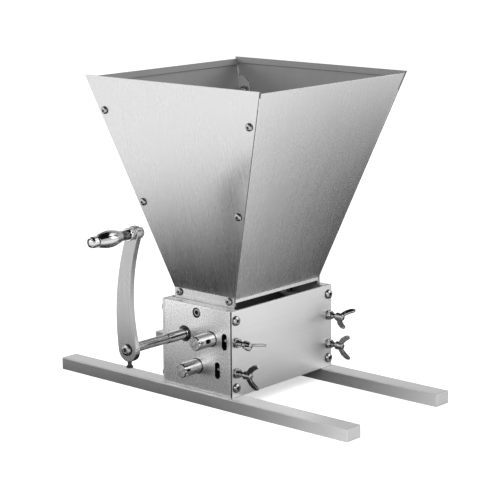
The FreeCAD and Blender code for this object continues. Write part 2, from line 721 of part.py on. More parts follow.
# Grip: a turned bullet-shaped sleeve that spins on the spindle
grip_bore = spindle_radius + d.running_play
groove_low = d.grip_tip / 2 - d.grip_groove_depth
grip = turned("grip", [
    (zero, grip_bore), (d.grip_length - d.grip_seat_depth, grip_bore),
    (d.grip_length - d.grip_seat_depth, d.grip_seat / 2), (d.grip_length, d.grip_seat / 2),
    (d.grip_length - d.grip_nose / 4, d.grip_tip / 2 - d.grip_groove_depth / 2),
    (d.grip_length - d.grip_nose, d.grip_tip / 2),
    (d.grip_groove + d.grip_groove_width, d.grip_tip / 2), (d.grip_groove + d.grip_groove_width, groove_low),
    (d.grip_groove, groove_low), (d.grip_groove, d.grip_tip / 2 + d.grip_groove_depth / 2),
    (d.grip_belly_end, d.grip_belly / 2), (d.grip_belly_start, d.grip_belly / 2 - d.grip_groove_depth / 2),
    (d.grip_neck_length, d.grip_neck / 2), (zero, d.grip_neck / 2)],
    -arm_outer - sleeve_start, grip_across, grip_height, FACING_NEAR)
listed("grip", grip)

# Tip screw that keeps the grip on its spindle, and the nut on the arm's inner face
tip_screw = turned("grip_tip_screw", [
    (shank_end - d.tip_screw_length, zero), (shank_end + d.tip_screw_height, zero),
    (shank_end + d.tip_screw_height, d.tip_screw_diameter / 3),
    (shank_end + d.tip_screw_height / 2, d.tip_screw_diameter / 2), (shank_end, d.tip_screw_diameter / 2),
    (shank_end, d.tip_screw_shank / 2), (shank_end - d.tip_screw_length, d.tip_screw_shank / 2)],
    -arm_outer, grip_across, grip_height, FACING_NEAR)
listed("grip_tip_screw", tip_screw)
spindle_nut = nut_seed("grip_nut", d.spindle_hex, d.spindle_nut_height, d.spindle_diameter + d.fixed_play * 2)
for letter, place in (("x", -arm_inner), ("y", grip_across), ("z", grip_height)):
    spindle_nut.setExpression(f"Placement.Base.{letter}", place.text)
listed("grip_nut", spindle_nut)

# Hopper: four folded panels. Half sizes of the funnel at its fold and at its mouth
fold_height = box_top + d.collar_height
mouth_height = box_top + d.hopper_height
mouth_x = d.mouth_length / 2
mouth_y = d.mouth_width / 2
throat_y = d.throat_width / 2
rise = mouth_height - fold_height
slope_x = (mouth_x - collar_outer) / rise
slope_y = (mouth_y - throat_y) / rise
level_sheet_x = d.sheet * (slope_x * slope_x + 1).root()
level_sheet_y = d.sheet * (slope_y * slope_y + 1).root()
PLANES = {
    "XZ": FreeCAD.Rotation(ALONG_X, 90),
    "YZ": FreeCAD.Rotation(FreeCAD.Vector(1, 1, 1), 120),
}
far_reach = d.mouth_length * 3


def prism(plane, points):
    """A bar through the middle of the mill whose section, seen along it, is the outline given."""
    sketch = doc.addObject("Sketcher::SketchObject", "Section")
    sketch.Placement = FreeCAD.Placement(FreeCAD.Vector(), PLANES[plane])
    add_polygon(sketch, points)
    bar = doc.addObject("Part::Extrusion", "Bar")
    bar.Base = sketch
    bar.DirMode = "Normal"
    bar.Solid = True
    bar.Symmetric = True
    bar.setExpression("LengthFwd", far_reach.text)
    return bar


def common(plane_a, points_a, plane_b, points_b):
    shape = doc.addObject("Part::MultiCommon", "Sheet")
    shape.Shapes = [prism(plane_a, points_a), prism(plane_b, points_b)]
    return shape


def folded(start, collar_low, fold, top, slope, level_sheet):
    """Section of a panel on the minus side: collar, fold, sloping wall and a hem turned inwards."""
    inner_fold = fold + (level_sheet - d.sheet) / slope
    rim = -start - slope * (top - fold)
    hem_low = top - d.hem
    hem_foot = -start - slope * (hem_low - fold) + level_sheet
    return [(-start, collar_low), (-start, fold), (rim, top), (rim + level_sheet * 2, top),
            (hem_foot + level_sheet, hem_low), (hem_foot, hem_low),
            (d.sheet - start, inner_fold), (d.sheet - start, collar_low)]


collar_low = box_top - d.collar_drop
end_outline = [(-throat_y, collar_low), (throat_y, collar_low), (throat_y, fold_height),
               (mouth_y, mouth_height), (-mouth_y, mouth_height), (-throat_y, fold_height)]
end_section = folded(collar_outer, collar_low, fold_height, mouth_height, slope_x, level_sheet_x)
near_sheet = common("XZ", end_section, "YZ", end_outline)

# Side panels end against the inner faces of the end panels, stepped back at the top for the hems,
# and their tabs lie on those faces
side_top = mouth_height - d.rim_step
side_low = box_top + d.side_gap
side_fold = side_low + d.side_collar_height
side_throat = mouth_y - slope_y * (mouth_height - side_fold)
stop = collar_inner - d.panel_play
stop_fold = fold_height + (level_sheet_x - d.sheet) / slope_x
notch_low = mouth_height - d.hem - d.panel_play
notch_end = stop + slope_x * (notch_low - stop_fold)
notch_start = notch_end - level_sheet_x
stop_top = stop - level_sheet_x + slope_x * (side_top - stop_fold)
side_outline = [(-stop, side_low), (stop, side_low), (stop, stop_fold),
                (notch_end, notch_low), (notch_start, notch_low), (stop_top, side_top),
                (-stop_top, side_top), (-notch_start, notch_low), (-notch_end, notch_low),
                (-stop, stop_fold)]
side_section = folded(side_throat, side_low, side_fold, side_top, slope_y, level_sheet_y)
front_wall = common("YZ", side_section, "XZ", side_outline)
tab_top = mouth_height - d.tab_top_margin
tab_low = box_top + d.tab_foot
tab_rim = stop + slope_x * (tab_top - stop_fold)
tab_fold = stop_fold + (level_sheet_x - d.sheet) / slope_x
tab_inner_rim = stop - d.sheet + slope_x * (tab_top - tab_fold)
band_top = side_throat + slope_y * (tab_top - side_fold)
band_corner = side_throat + slope_y * (tab_top - d.tab_corner - side_fold)
band = [(-side_throat, tab_low), (-side_throat, side_fold), (-band_top, tab_top),
        (d.tab_width - d.tab_corner - band_top, tab_top),
        (d.tab_width - band_corner, tab_top - d.tab_corner), (d.tab_width - side_throat, side_fold),
        (d.tab_width - side_throat, tab_low)]
tabs = []
for sign in (1, -1):
    strip = [(stop * sign, tab_low), (stop * sign, stop_fold), (tab_rim * sign, tab_top),
             (tab_inner_rim * sign, tab_top), ((stop - d.sheet) * sign, tab_fold),
             ((stop - d.sheet) * sign, tab_low)]
    tabs.append(common("XZ", strip, "YZ", band))
front_sheet = doc.addObject("Part::MultiFuse", "FrontSheet")
front_sheet.Shapes = [front_wall] + tabs
front_sheet.Refine = True

# Panel screws: three down each sloping edge, square to the sheet, the lowest one in the collar
tilt = FreeCAD.Vector(-1, 0, -slope_x.value)
SLOPING = FreeCAD.Rotation(ALONG_X, tilt)
top_screw = mouth_height - d.panel_screw_top
foot_screw = fold_height - d.panel_screw_foot
middle_screw = (top_screw + foot_screw) / 2
near_screw_places = []
for height in (top_screw, middle_screw):
    x = -(collar_outer + slope_x * (height - fold_height))
    y = throat_y + slope_y * (height - fold_height) - d.panel_screw_inset
    for sign in (1, -1):
        near_screw_places.append(at_point(x.value, sign * y.value, height.value, SLOPING))
foot_y = throat_y - d.panel_screw_inset
for sign in (1, -1):
    near_screw_places.append(
        at_point(-collar_outer.value, sign * foot_y.value, foot_screw.value, FACING_NEAR))


def beyond_middle(placement):
    """The same place on the far panel, reached by half a turn about the mill's upright axis."""
    return at_point(0, 0, 0, FACING_NEAR).multiply(placement)


panel_screw_places = near_screw_places + [beyond_middle(place) for place in near_screw_places]
panel_screw_seed = headed_screw("panel_screw_seed", d.panel_screw, d.panel_screw_length, d.panel_screw_head,
                                d.panel_screw_head_height, d.panel_screw_head / 2, d.socket_flats,
                                d.panel_screw_head_height / 2)
group("hopper_screws", panel_screw_seed, panel_screw_places)
panel_nut_seed = nut_seed("panel_nut_seed", d.panel_nut_flats, d.panel_nut_height,
                          d.panel_screw + d.fixed_play * 2)
nut_back = -(d.sheet * 2 + d.panel_play + d.panel_nut_height)
group("hopper_nuts", panel_nut_seed,
      [place.multiply(at_point(nut_back.value, 0, 0)) for place in panel_screw_places])

# Screw holes through the panels and their tabs
hole_length = d.panel_screw_length.value * 2
hole_radius = (d.panel_screw / 2 + d.fixed_play).value
drills = []
for place in panel_screw_places:
    drill = Part.makeCylinder(hole_radius, hole_length, FreeCAD.Vector(-hole_length / 2, 0, 0), ALONG_X)
    drill.Placement = place.multiply(drill.Placement)
    drills.append(drill)
fixing_drill = Part.makeCylinder((hole_diameter / 2).value, (inner_half * 4).value,
                                 FreeCAD.Vector(-(inner_half * 2).value, 0, fixing_height.value), ALONG_X)
panel_drills = doc.addObject("Part::Feature", "PanelDrills")
panel_drills.Shape = Part.makeCompound(drills + [fixing_drill])
for label, opposite, sheet_piece, normal in (
        ("near_hopper_panel", "far_hopper_panel", near_sheet, ALONG_X),
        ("front_hopper_panel", "back_hopper_panel", front_sheet, ALONG_Y)):
    drilled = doc.addObject("Part::Cut", label)
    drilled.Base = sheet_piece
    drilled.Tool = panel_drills
    listed(label, drilled)
    mirrored(opposite, drilled, normal)

doc.recompute()
for thing in doc.Objects:
    if "Invalid" in thing.State or "Error" in thing.State:
        raise RuntimeError(f"{thing.Label} failed: {thing.State}")
for thing in parts:
    if thing.Shape.isNull() or not thing.Shape.isValid():
        raise RuntimeError(f"{thing.Label} has no valid shape")

os.makedirs("parts", exist_ok=True)
for thing in parts:
    thing.Shape.exportStep(f"parts/{thing.Label}.step")
    print(thing.Label, len(thing.Shape.Solids), round(thing.Shape.Volume, 1))
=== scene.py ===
import bmesh
import bpy
import math
from mathutils import Matrix, Vector


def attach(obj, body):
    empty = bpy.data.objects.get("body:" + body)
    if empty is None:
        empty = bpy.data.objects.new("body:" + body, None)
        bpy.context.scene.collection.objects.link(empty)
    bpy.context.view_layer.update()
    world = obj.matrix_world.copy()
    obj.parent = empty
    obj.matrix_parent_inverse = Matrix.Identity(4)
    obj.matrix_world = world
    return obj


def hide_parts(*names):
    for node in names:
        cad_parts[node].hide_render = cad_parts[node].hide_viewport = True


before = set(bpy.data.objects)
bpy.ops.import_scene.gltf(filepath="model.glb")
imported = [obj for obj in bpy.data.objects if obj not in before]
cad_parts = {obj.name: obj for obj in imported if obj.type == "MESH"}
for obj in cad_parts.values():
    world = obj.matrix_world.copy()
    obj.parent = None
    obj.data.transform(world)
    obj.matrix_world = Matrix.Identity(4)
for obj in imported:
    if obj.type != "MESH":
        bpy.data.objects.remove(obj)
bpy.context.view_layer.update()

# Rails: two solid steel bars that the mill stands on, laid across a bucket or a bench.
# Drawn flat bar, brushed along its length, sawn to length with the edges broken by hand,
# and screwed up into the end plates from below.


class Wire:
    """One output of a finish's nodes. Sums and products of wires add Math nodes to that finish."""

    def __init__(self, tree, socket):
        self.tree = tree
        self.socket = socket

    def node(self, kind, settings, inputs, output=0):
        made = self.tree.nodes.new("ShaderNode" + kind)
        for name, value in settings.items():
            setattr(made, name, value)
        for name, value in inputs.items():
            if isinstance(value, Wire):
                self.tree.links.new(value.socket, made.inputs[name])
            else:
                made.inputs[name].default_value = value
        return Wire(self.tree, made.outputs[output])

    def math(self, operation, first, second):
        return self.node("Math", {"operation": operation}, {0: first, 1: second})

    def into(self, socket):
        self.tree.links.new(self.socket, socket)

    def __add__(self, other):
        return self.math("ADD", self, other)

    def __radd__(self, other):
        return self.math("ADD", other, self)

    def __sub__(self, other):
        return self.math("SUBTRACT", self, other)

    def __rsub__(self, other):
        return self.math("SUBTRACT", other, self)

    def __mul__(self, other):
        return self.math("MULTIPLY", self, other)

    def __rmul__(self, other):
        return self.math("MULTIPLY", other, self)


def grey(level):
    return (level, level, level, 1.0)


def new_finish(name, **constants):
    """A bare metal: its material, its shader's sockets and the wire of the object's own coordinates."""
    material = bpy.data.materials.new(name)
    material.use_nodes = True
    tree = material.node_tree
    sockets = tree.nodes["Principled BSDF"].inputs
    for socket, value in {"Metallic": 1.0, **constants}.items():
        sockets[socket].default_value = value
    place = tree.nodes.new("ShaderNodeTexCoord")
    return material, sockets, Wire(tree, place.outputs["Object"])


SCRATCH_DEPTH = 0.0002
CLOUDS_PER_METRE = 22.0


def grained_metal(name, dark, light, roughness, grain, scratch, smear=0.06, contrast=0.75, **constants):
    """Ground or brushed metal. Grain gives how often the scratches change along each axis, per metre."""
    material, sockets, place = new_finish(name, **constants)
    stretched = place.node("Mapping", {}, {"Vector": place, "Scale": grain})
    fine = place.node("TexNoise", {}, {"Vector": stretched, "Scale": 1.0, "Detail": 4.0, "Roughness": 0.7})
    cloud = place.node("TexNoise", {}, {"Vector": place, "Scale": CLOUDS_PER_METRE, "Detail": 3.0})
    tone = (fine - 0.5) * contrast + (cloud - 0.5) * 0.25 + 0.5
    colour = place.node("Mix", {"data_type": "RGBA"}, {0: tone, 6: grey(dark), 7: grey(light)}, 2)
    colour.into(sockets["Base Color"])
    (roughness + (fine - 0.5) * 0.08 + (cloud - 0.5) * smear).into(sockets["Roughness"])
    bump = place.node("Bump", {}, {"Strength": scratch, "Distance": SCRATCH_DEPTH, "Height": fine})
    bump.into(sockets["Normal"])
    return material


def bar(mesh, corners, along):
    """A closed bar: a flat outline, extruded along a vector. Gives its corners, first end first."""
    first = mesh.faces.new([mesh.verts.new(corner) for corner in corners])
    grown = bmesh.ops.extrude_face_region(mesh, geom=[first])["geom"]
    last = [part for part in grown if isinstance(part, bmesh.types.BMVert)]
    bmesh.ops.translate(mesh, verts=last, vec=along)
    return list(first.verts), last


def soften(mesh, width, segments=2, sharper=0.5):
    """Round off the edges that turn by more than the angle given, in radians."""
    bmesh.ops.recalc_face_normals(mesh, faces=mesh.faces)
    edges = [edge for edge in mesh.edges if edge.is_manifold and edge.calc_face_angle() > sharper]
    bmesh.ops.bevel(mesh, geom=edges, offset=width, offset_type="OFFSET", segments=segments,
                    profile=0.5, affect="EDGES", clamp_overlap=True, material=-1)


SAME_PLACE = 0.0005


def turned(profile, steps=48):
    """A lathe piece about the X axis, from points along the axis and out from it."""
    mesh = bmesh.new()
    points = [mesh.verts.new((along, out, 0)) for along, out in profile]
    lines = [mesh.edges.new(pair) for pair in zip(points, points[1:])]
    bmesh.ops.spin(mesh, geom=points + lines, cent=(0, 0, 0), axis=(1, 0, 0), angle=math.tau,
                   steps=steps, use_merge=True)
    bmesh.ops.remove_doubles(mesh, verts=mesh.verts, dist=SAME_PLACE)
    return mesh


def straight_hole(start, stop, radius):
    """The profile of a plain drilled hole."""
    return [(start, 0), (start, radius), (stop, radius), (stop, 0)]


def close(mesh):
    """Merge the points that lie together and turn the faces outwards."""
    bmesh.ops.remove_doubles(mesh, verts=mesh.verts, dist=SAME_PLACE)
    bmesh.ops.recalc_face_normals(mesh, faces=mesh.faces)


def as_data(name, mesh):
    """The mesh as the file keeps it, with the working copy freed."""
    data = bpy.data.meshes.new(name)
    mesh.to_mesh(data)
    mesh.free()
    return data


def as_object(name, mesh):
    """An object in the scene that holds the mesh."""
    thing = bpy.data.objects.new(name, as_data(name, mesh))
    bpy.context.scene.collection.objects.link(thing)
    return thing


def finished_mesh(thing):
    """A copy of the object's mesh with its modifiers applied."""
    view = bpy.context.evaluated_depsgraph_get()
    return bpy.data.meshes.new_from_object(thing.evaluated_get(view))


def carved(mesh, cutters):
    """The mesh with each cutter's shape taken out of it."""
    for shape in (mesh, *cutters):
        close(shape)
    block = as_object("block", mesh)
    tools = [as_object("cutter", cutter) for cutter in cutters]
    for tool in tools:
        bite = block.modifiers.new("bite", "BOOLEAN")
        bite.operation = "DIFFERENCE"
        bite.solver = "EXACT"
        bite.object = tool
    result = bmesh.new()
    result.from_mesh(finished_mesh(block))
    for thing in (block, *tools):
        bpy.data.objects.remove(thing)
    return result


def placed(place, matrix):
    """A turn given as a matrix, followed by a move to the place."""
    return Matrix.Translation(Vector(place)) @ matrix


MILLIMETRE = 0.001


def dress(node, mesh, material, body, sharp=32):
    """Close a mesh drawn in millimetres, bring it to metres and let it stand for its CAD node.

    Edges that turn by more than the sharp angle, in degrees, stay crisp.
    Flat faces stay flat beside round edges.
    """
    close(mesh)
    for face in mesh.faces:
        face.smooth = True
    bmesh.ops.scale(mesh, vec=(MILLIMETRE, MILLIMETRE, MILLIMETRE), verts=mesh.verts)
    piece = as_object(node + "_dressed", mesh)
    rough = piece.data
    rough.set_sharp_from_angle(angle=math.radians(sharp))
    even = piece.modifiers.new("even", "WEIGHTED_NORMAL")
    even.keep_sharp = True
    even.weight = 100
    piece.data = finished_mesh(piece)
    piece.modifiers.clear()
    bpy.data.meshes.remove(rough)
    piece.data.materials.append(material)
    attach(piece, body)
    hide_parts(node)
    return piece


def refinish(piece, material, chosen):
    """Give the faces that are chosen another finish."""
    piece.data.materials.append(material)
    last = len(piece.data.materials) - 1
    for face in piece.data.polygons:
        if chosen(face):
            face.material_index = last


SQUARE_ON = 0.95


def facing(x, y, z, least=SQUARE_ON):
    """A choice of the faces that look the way of a direction."""
    way = Vector((x, y, z))

    def looks_there(face):
        return face.normal.dot(way) > least
    return looks_there


rail_steel = grained_metal("rail_steel", 0.60, 0.80, roughness=0.36, grain=(900.0, 9.0, 900.0),
                           scratch=0.20, Metallic=0.92)
sawn_steel = grained_metal("sawn_steel", 0.46, 0.66, roughness=0.50, grain=(60.0, 900.0, 900.0),
                           scratch=0.30, Metallic=0.4)
RAIL_HALF = 185.0
RAIL_HEIGHT = 12.5
RAIL_INSIDE, RAIL_OUTSIDE = 59.0, 79.0
RAIL_ROUNDING = 0.8
RAIL_SCREWS = (15.0, -15.0)
RAIL_SEAT = 6.5
SEAT_START, SEAT_RADIUS = -3.0, 5.0
UPWARD = Matrix.Rotation(math.radians(-90), 4, "Y")
DOWNWARD = Matrix.Rotation(math.radians(90), 4, "Y")
for node, side in (("near_rail", -1), ("far_rail", 1)):
    inside, outside = side * RAIL_INSIDE, side * RAIL_OUTSIDE
    mesh = bmesh.new()
    bar(mesh, [(inside, -RAIL_HALF, 0), (outside, -RAIL_HALF, 0), (outside, -RAIL_HALF, RAIL_HEIGHT),
               (inside, -RAIL_HALF, RAIL_HEIGHT)], (0, 2 * RAIL_HALF, 0))
    soften(mesh, RAIL_ROUNDING, segments=3)
    seats = []
    for y in RAIL_SCREWS:
        seat = turned(straight_hole(SEAT_START, RAIL_SEAT, SEAT_RADIUS))
        bmesh.ops.transform(seat, verts=seat.verts, matrix=placed(((inside + outside) / 2, y, 0), UPWARD))
        seats.append(seat)
    rail = dress(node, carved(mesh, seats), rail_steel, "frame")
    for way in (-1, 1):
        refinish(rail, sawn_steel, facing(0, way, 0))

# End plates: thick milled plates that carry the roller bearings, bead-blasted all over.
# Two tall windows show the captive nuts of the clamping screws, and a counterbore at the top
# takes the screw that holds the hopper down. The knobs' holes are countersunk a little.
INNER = 64.0
OUTER = 75.0
PLATE_MIDDLE = 69.5
PLATE_EDGE = 42.5
PLATE_ROUNDING = 0.7
BOX_LOW = 12.5
BOX_TOP = 96.470
DRIVE_Y, DRIVE_Z = 15.5, 65.9953
UPPER_Y, UPPER_Z = -18.0, 65.9953
LOWER_Y, LOWER_Z = 0.0, 36.5
WINDOWS = ((-35.25, UPPER_Z), (-26.25, LOWER_Z))
WINDOW_WIDTH, WINDOW_HEIGHT = 6.5, 16.3
CUT_START, CUT_END = 60.0, 80.0
KNOB_HOLE = 7.05
COUNTERSINK, COUNTERSINK_DEPTH, COUNTERSINK_PAST = 0.8, 1.2, 0.3
CAM_SEAT, CAM_HOLE = 72.1, 10.05
BUSH_HOLE = 8.02
FIXING_Z = 88.770
FIXING_SEAT, FIXING_SINK = 69.8, 5.0
SCREW_HOLE = 2.55
FRONTWARD = Matrix.Rotation(math.radians(-90), 4, "Z")
BACKWARD = Matrix.Rotation(math.radians(90), 4, "Z")
NEARWARD = Matrix.Rotation(math.radians(180), 4, "Z")
FARWARD = Matrix.Identity(4)
SLOT_REACH = 100.0


def slot_cutters(across, up):
    """A box and two cylinders along X that together cut a window, an upright slot with round ends."""
    half = WINDOW_WIDTH / 2
    straight = (WINDOW_HEIGHT - WINDOW_WIDTH) / 2
    box = bmesh.new()
    bar(box, [(-SLOT_REACH, across - half, up - straight), (-SLOT_REACH, across + half, up - straight),
              (-SLOT_REACH, across + half, up + straight), (-SLOT_REACH, across - half, up + straight)],
        (2 * SLOT_REACH, 0, 0))
    cutters = [box]
    for middle in (up - straight, up + straight):
        drill = turned(straight_hole(-SLOT_REACH, SLOT_REACH, half), steps=32)
        bmesh.ops.translate(drill, verts=drill.verts, vec=(0, across, middle))
        cutters.append(drill)
    return cutters


PITS_PER_METRE, GRIT_PER_METRE, STAINS_PER_METRE = 900.0, 720.0, 30.0
blasted, sockets, place = new_finish("blasted_plate")
pits = place.node("TexVoronoi", {"feature": "SMOOTH_F1"}, {"Vector": place, "Scale": PITS_PER_METRE})
grit = place.node("TexNoise", {}, {"Vector": place, "Scale": GRIT_PER_METRE, "Detail": 3.0, "Roughness": 0.7})
stain = place.node("TexNoise", {}, {"Vector": place, "Scale": STAINS_PER_METRE, "Detail": 4.0})
tone = (grit - 0.5) * 3.4 + pits * 0.3 + stain * 0.2 + 0.35
colour = place.node("Mix", {"data_type": "RGBA"}, {0: tone, 6: grey(0.55), 7: grey(1.0)}, 2)
colour.into(sockets["Base Color"])
(0.34 + grit * 0.12 + (stain - 0.5) * 0.06).into(sockets["Roughness"])
bump = place.node("Bump", {}, {"Strength": 0.35, "Distance": SCRATCH_DEPTH, "Height": grit + pits})
bump.into(sockets["Normal"])
# Near-black steel: the real black of the set screw, and painted shade in the holes, windows, sockets, rims
# and bush faces.
black_steel_and_painted_shade = grained_metal("black_steel_and_painted_shade", 0.03, 0.09, roughness=0.42, grain=(500.0, 60.0, 60.0), scratch=0.20)

knob_hole = [(CUT_START, 0), (CUT_START, KNOB_HOLE), (OUTER - COUNTERSINK_DEPTH, KNOB_HOLE),
             (OUTER + COUNTERSINK_PAST, KNOB_HOLE + COUNTERSINK), (OUTER + COUNTERSINK_PAST, 0)]
cam_hole = straight_hole(CUT_START, CAM_SEAT, CAM_HOLE)
plate_holes = ((UPPER_Y, UPPER_Z, knob_hole), (UPPER_Y, UPPER_Z, cam_hole),
               (LOWER_Y, LOWER_Z, knob_hole), (LOWER_Y, LOWER_Z, cam_hole),
               (DRIVE_Y, DRIVE_Z, straight_hole(CUT_START, CUT_END, BUSH_HOLE)),
               (0, FIXING_Z, straight_hole(FIXING_SEAT, CUT_END, FIXING_SINK)),
               (0, FIXING_Z, straight_hole(CUT_START, CUT_END, SCREW_HOLE)))
WALLS_ACROSS, WALLS_LOW, WALLS_HIGH = 0.041, 0.016, 0.095


def hole_wall(face):
    """Whether a face is a wall of a hole: inside these bounds, in metres, and not looking along X."""
    inside = abs(face.center.y) < WALLS_ACROSS and WALLS_LOW < face.center.z < WALLS_HIGH
    return inside and abs(face.normal.x) < 0.5


for node, side in (("near_end_plate", -1), ("far_end_plate", 1)):
    mesh = bmesh.new()
    bar(mesh, [(side * INNER, -PLATE_EDGE, BOX_LOW), (side * INNER, PLATE_EDGE, BOX_LOW),
               (side * INNER, PLATE_EDGE, BOX_TOP), (side * INNER, -PLATE_EDGE, BOX_TOP)],
        (side * (OUTER - INNER), 0, 0))
    soften(mesh, PLATE_ROUNDING, segments=3)
    holes = [cutter for y, z in WINDOWS for cutter in slot_cutters(y, z)]
    for y, z, profile in plate_holes:
        hole = turned(profile, steps=64)
        bmesh.ops.transform(hole, verts=hole.verts, matrix=NEARWARD if side < 0 else FARWARD)
        bmesh.ops.translate(hole, verts=hole.verts, vec=(0, y, z))
        holes.append(hole)
    plate = dress(node, carved(mesh, holes), blasted, "frame")
    # Painted shade: the walls of the windows, holes, counterbore and knob countersinks are painted
    # near-black.
    refinish(plate, black_steel_and_painted_shade, hole_wall)

# Side plates: thin satin stainless sheets that close the front and back of the roller box.
# Cut from sheet, deburred, and screwed on to the edges of the end plates at their corners.
# The front one's edge beside the near end plate is painted dark, as painted shade in the joint.
SIDE_FACE = 45.0
SIDE_ROUNDING = 0.5
# A near-black edge finish: painted shade where a sheet's edge meets the next part.
painted_joint_shade = grained_metal("painted_joint_shade_edge", 0.05, 0.16, roughness=0.40, grain=(300.0, 300.0, 60.0), scratch=0.20)
satin = grained_metal("satin_sheet", 0.66, 0.80, roughness=0.46, grain=(7.0, 700.0, 900.0),
                      scratch=0.06, Metallic=0.9)
for node, side in (("front_side_plate", -1), ("back_side_plate", 1)):
    mesh = bmesh.new()
    bar(mesh, [(-OUTER, side * PLATE_EDGE, BOX_LOW), (OUTER, side * PLATE_EDGE, BOX_LOW),
               (OUTER, side * PLATE_EDGE, BOX_TOP), (-OUTER, side * PLATE_EDGE, BOX_TOP)],
        (0, side * (SIDE_FACE - PLATE_EDGE), 0))
    soften(mesh, SIDE_ROUNDING, segments=3)
    plate = dress(node, mesh, satin, "frame")
    if side < 0:
        refinish(plate, painted_joint_shade, facing(-1, 0, 0))

# Side-plate screws: M5 button heads with a hexagon socket, two at each end of both side plates.
# Cold-headed steel with a bright plated skin that shows the dark of the room.
# The sockets and the rims under the heads are painted black, as painted shade.
NEARLY = 0.01
HEAD_ROUNDING = 0.18
plated = grained_metal("plated_steel", 0.18, 0.46, roughness=0.06, grain=(400.0, 400.0, 400.0), scratch=0.05)


def copies(seed, places):
    """One mesh that holds a copy of the seed at each place."""
    data = as_data("seed", seed)
    mesh = bmesh.new()
    for place in places:
        before = len(mesh.verts)
        mesh.from_mesh(data)
        mesh.verts.ensure_lookup_table()
        bmesh.ops.transform(mesh, matrix=place, verts=mesh.verts[before:])
    bpy.data.meshes.remove(data)
    return mesh


def hexed(mesh, flats):
    """Draw the round ring whose radius is a hexagon's corner in to that hexagon."""
    corner = flats / math.sqrt(3)
    for vert in mesh.verts:
        if abs(math.hypot(vert.co.y, vert.co.z) - corner) < NEARLY:
            angle = math.atan2(vert.co.z, vert.co.y) % (math.pi / 3) - math.pi / 6
            share = math.cos(math.pi / 6) / math.cos(angle)
            vert.co.y *= share
            vert.co.z *= share


def socket_screw(length, shank, head, height, crown, flats, depth):
    """A screw along -X whose head stands on the plane x = 0, with a hexagon socket."""
    corner = flats / math.sqrt(3)
    shoulder = head * 0.5 + crown * 0.5 + (head - crown) * 0.22
    mesh = turned([(-length, 0), (-length, shank), (0, shank), (0, head), (height * 0.4, head),
                   (height * 0.75, shoulder), (height, crown), (height, corner),
                   (height - depth, corner), (height - depth, 0)])
    hexed(mesh, flats)
    soften(mesh, HEAD_ROUNDING, sharper=0.7)
    # Painted shade: the socket and the rim under the head take the second, near-black finish.
    for face in mesh.faces:
        middle = face.calc_center_median()
        out = math.hypot(middle.y, middle.z)
        in_socket = height - depth - 0.1 < middle.x < height - 0.3 and out < corner
        on_rim = middle.x < height * 0.41 and out > head * 0.9
        if in_socket or on_rim:
            face.material_index = 1
    return mesh


def screw_down(node, screw, places, body="frame"):
    """Plated screws at their places, with sockets and rims painted black as painted shade."""
    piece = dress(node, copies(screw, places), plated, body)
    piece.data.materials.append(black_steel_and_painted_shade)


PLATE_ENDS = (-PLATE_MIDDLE, PLATE_MIDDLE)
BUTTON_HEIGHTS = (21.8, 87.170)
button = socket_screw(16.0, shank=2.5, head=4.75, height=2.75, crown=2.6, flats=3.0, depth=1.5)
screw_down("side_plate_screws", button, [
    placed((x, y, z), turn) for turn, y in ((FRONTWARD, -SIDE_FACE), (BACKWARD, SIDE_FACE))
    for x in PLATE_ENDS for z in BUTTON_HEIGHTS])

# Rail screws: M5 socket heads sunk in counterbores under the rails, plated like the others.
# Each pair ties a rail to the end plate above it.
CAP_HEAD = {"shank": 2.5, "head": 4.25, "height": 5.0, "crown": 3.75, "flats": 4.0, "depth": 2.5}
screw_down("rail_screws", socket_screw(17.9, **CAP_HEAD), [
    placed((x, y, RAIL_SEAT), DOWNWARD) for x in PLATE_ENDS for y in RAIL_SCREWS])

# Drive bushes: plain steel bearings pressed into the end plates for the driven roller's shaft.
# The near one has a turned nose that stands out of its plate. Their faces towards the crank are painted dark,
# as painted shade round the shaft.
JOURNAL_HOLE = 5.05
BUSH = 8.0
NOSE, NOSE_END, NOSE_CHAMFER = 5.8, -77.0, 0.3
bush_metal = grained_metal("bush_metal", 0.36, 0.56, roughness=0.18, grain=(900.0, 40.0, 40.0), scratch=0.08)
near_bush = turned([(NOSE_END, JOURNAL_HOLE), (-INNER, JOURNAL_HOLE), (-INNER, BUSH), (-OUTER, BUSH),
                    (-OUTER, NOSE), (NOSE_END + NOSE_CHAMFER, NOSE), (NOSE_END, NOSE - NOSE_CHAMFER),
                    (NOSE_END, JOURNAL_HOLE)])
far_bush = turned([(INNER, JOURNAL_HOLE), (OUTER, JOURNAL_HOLE), (OUTER, BUSH), (INNER, BUSH),
                   (INNER, JOURNAL_HOLE)])
for node, mesh in (("near_drive_bush", near_bush), ("far_drive_bush", far_bush)):
    bmesh.ops.translate(mesh, verts=mesh.verts, vec=(0, DRIVE_Y, DRIVE_Z))
    # Painted shade: the faces towards the crank take the near-black finish.
    refinish(dress(node, mesh, bush_metal, "frame"), black_steel_and_painted_shade, facing(-1, 0, 0))

# Rollers: three steel bars, 31.75 mm across, with a diamond knurl that bites the grain.
# Turned down to journals at both ends; the driven one runs out through the near plate
# as the shaft that carries the crank. Its light and dark streaks along the journals and shaft are painted
# reflections.
ROLLER = 15.875
ROLLER_HALF = 63.5
ROLLER_CHAMFER = 1.0
JOURNAL, JOURNAL_CHAMFER = 5.0, 0.4
IDLE_END, DRIVE_END = 70.9, 74.0
SHAFT, SHAFT_CHAMFER = 4.5, 0.2
SHAFT_STEP, SHAFT_END = -100.0, -152.9
KNURL_POINTS_ROUND = 120
KNURL_ROWS = 148
KNURL_DEPTH = 0.45
roller_steel = grained_metal("roller_steel", 0.12, 0.26, roughness=0.36, grain=(300.0, 300.0, 300.0),
                             scratch=0.15)
# Painted reflections: light and dark streaks along the journals and the shaft.
shaft_painted_reflections = grained_metal("shaft_painted_reflections", 0.03, 0.80, roughness=0.08, grain=(4.0, 300.0, 300.0),
                            scratch=0.02, smear=0.03, contrast=4.0)


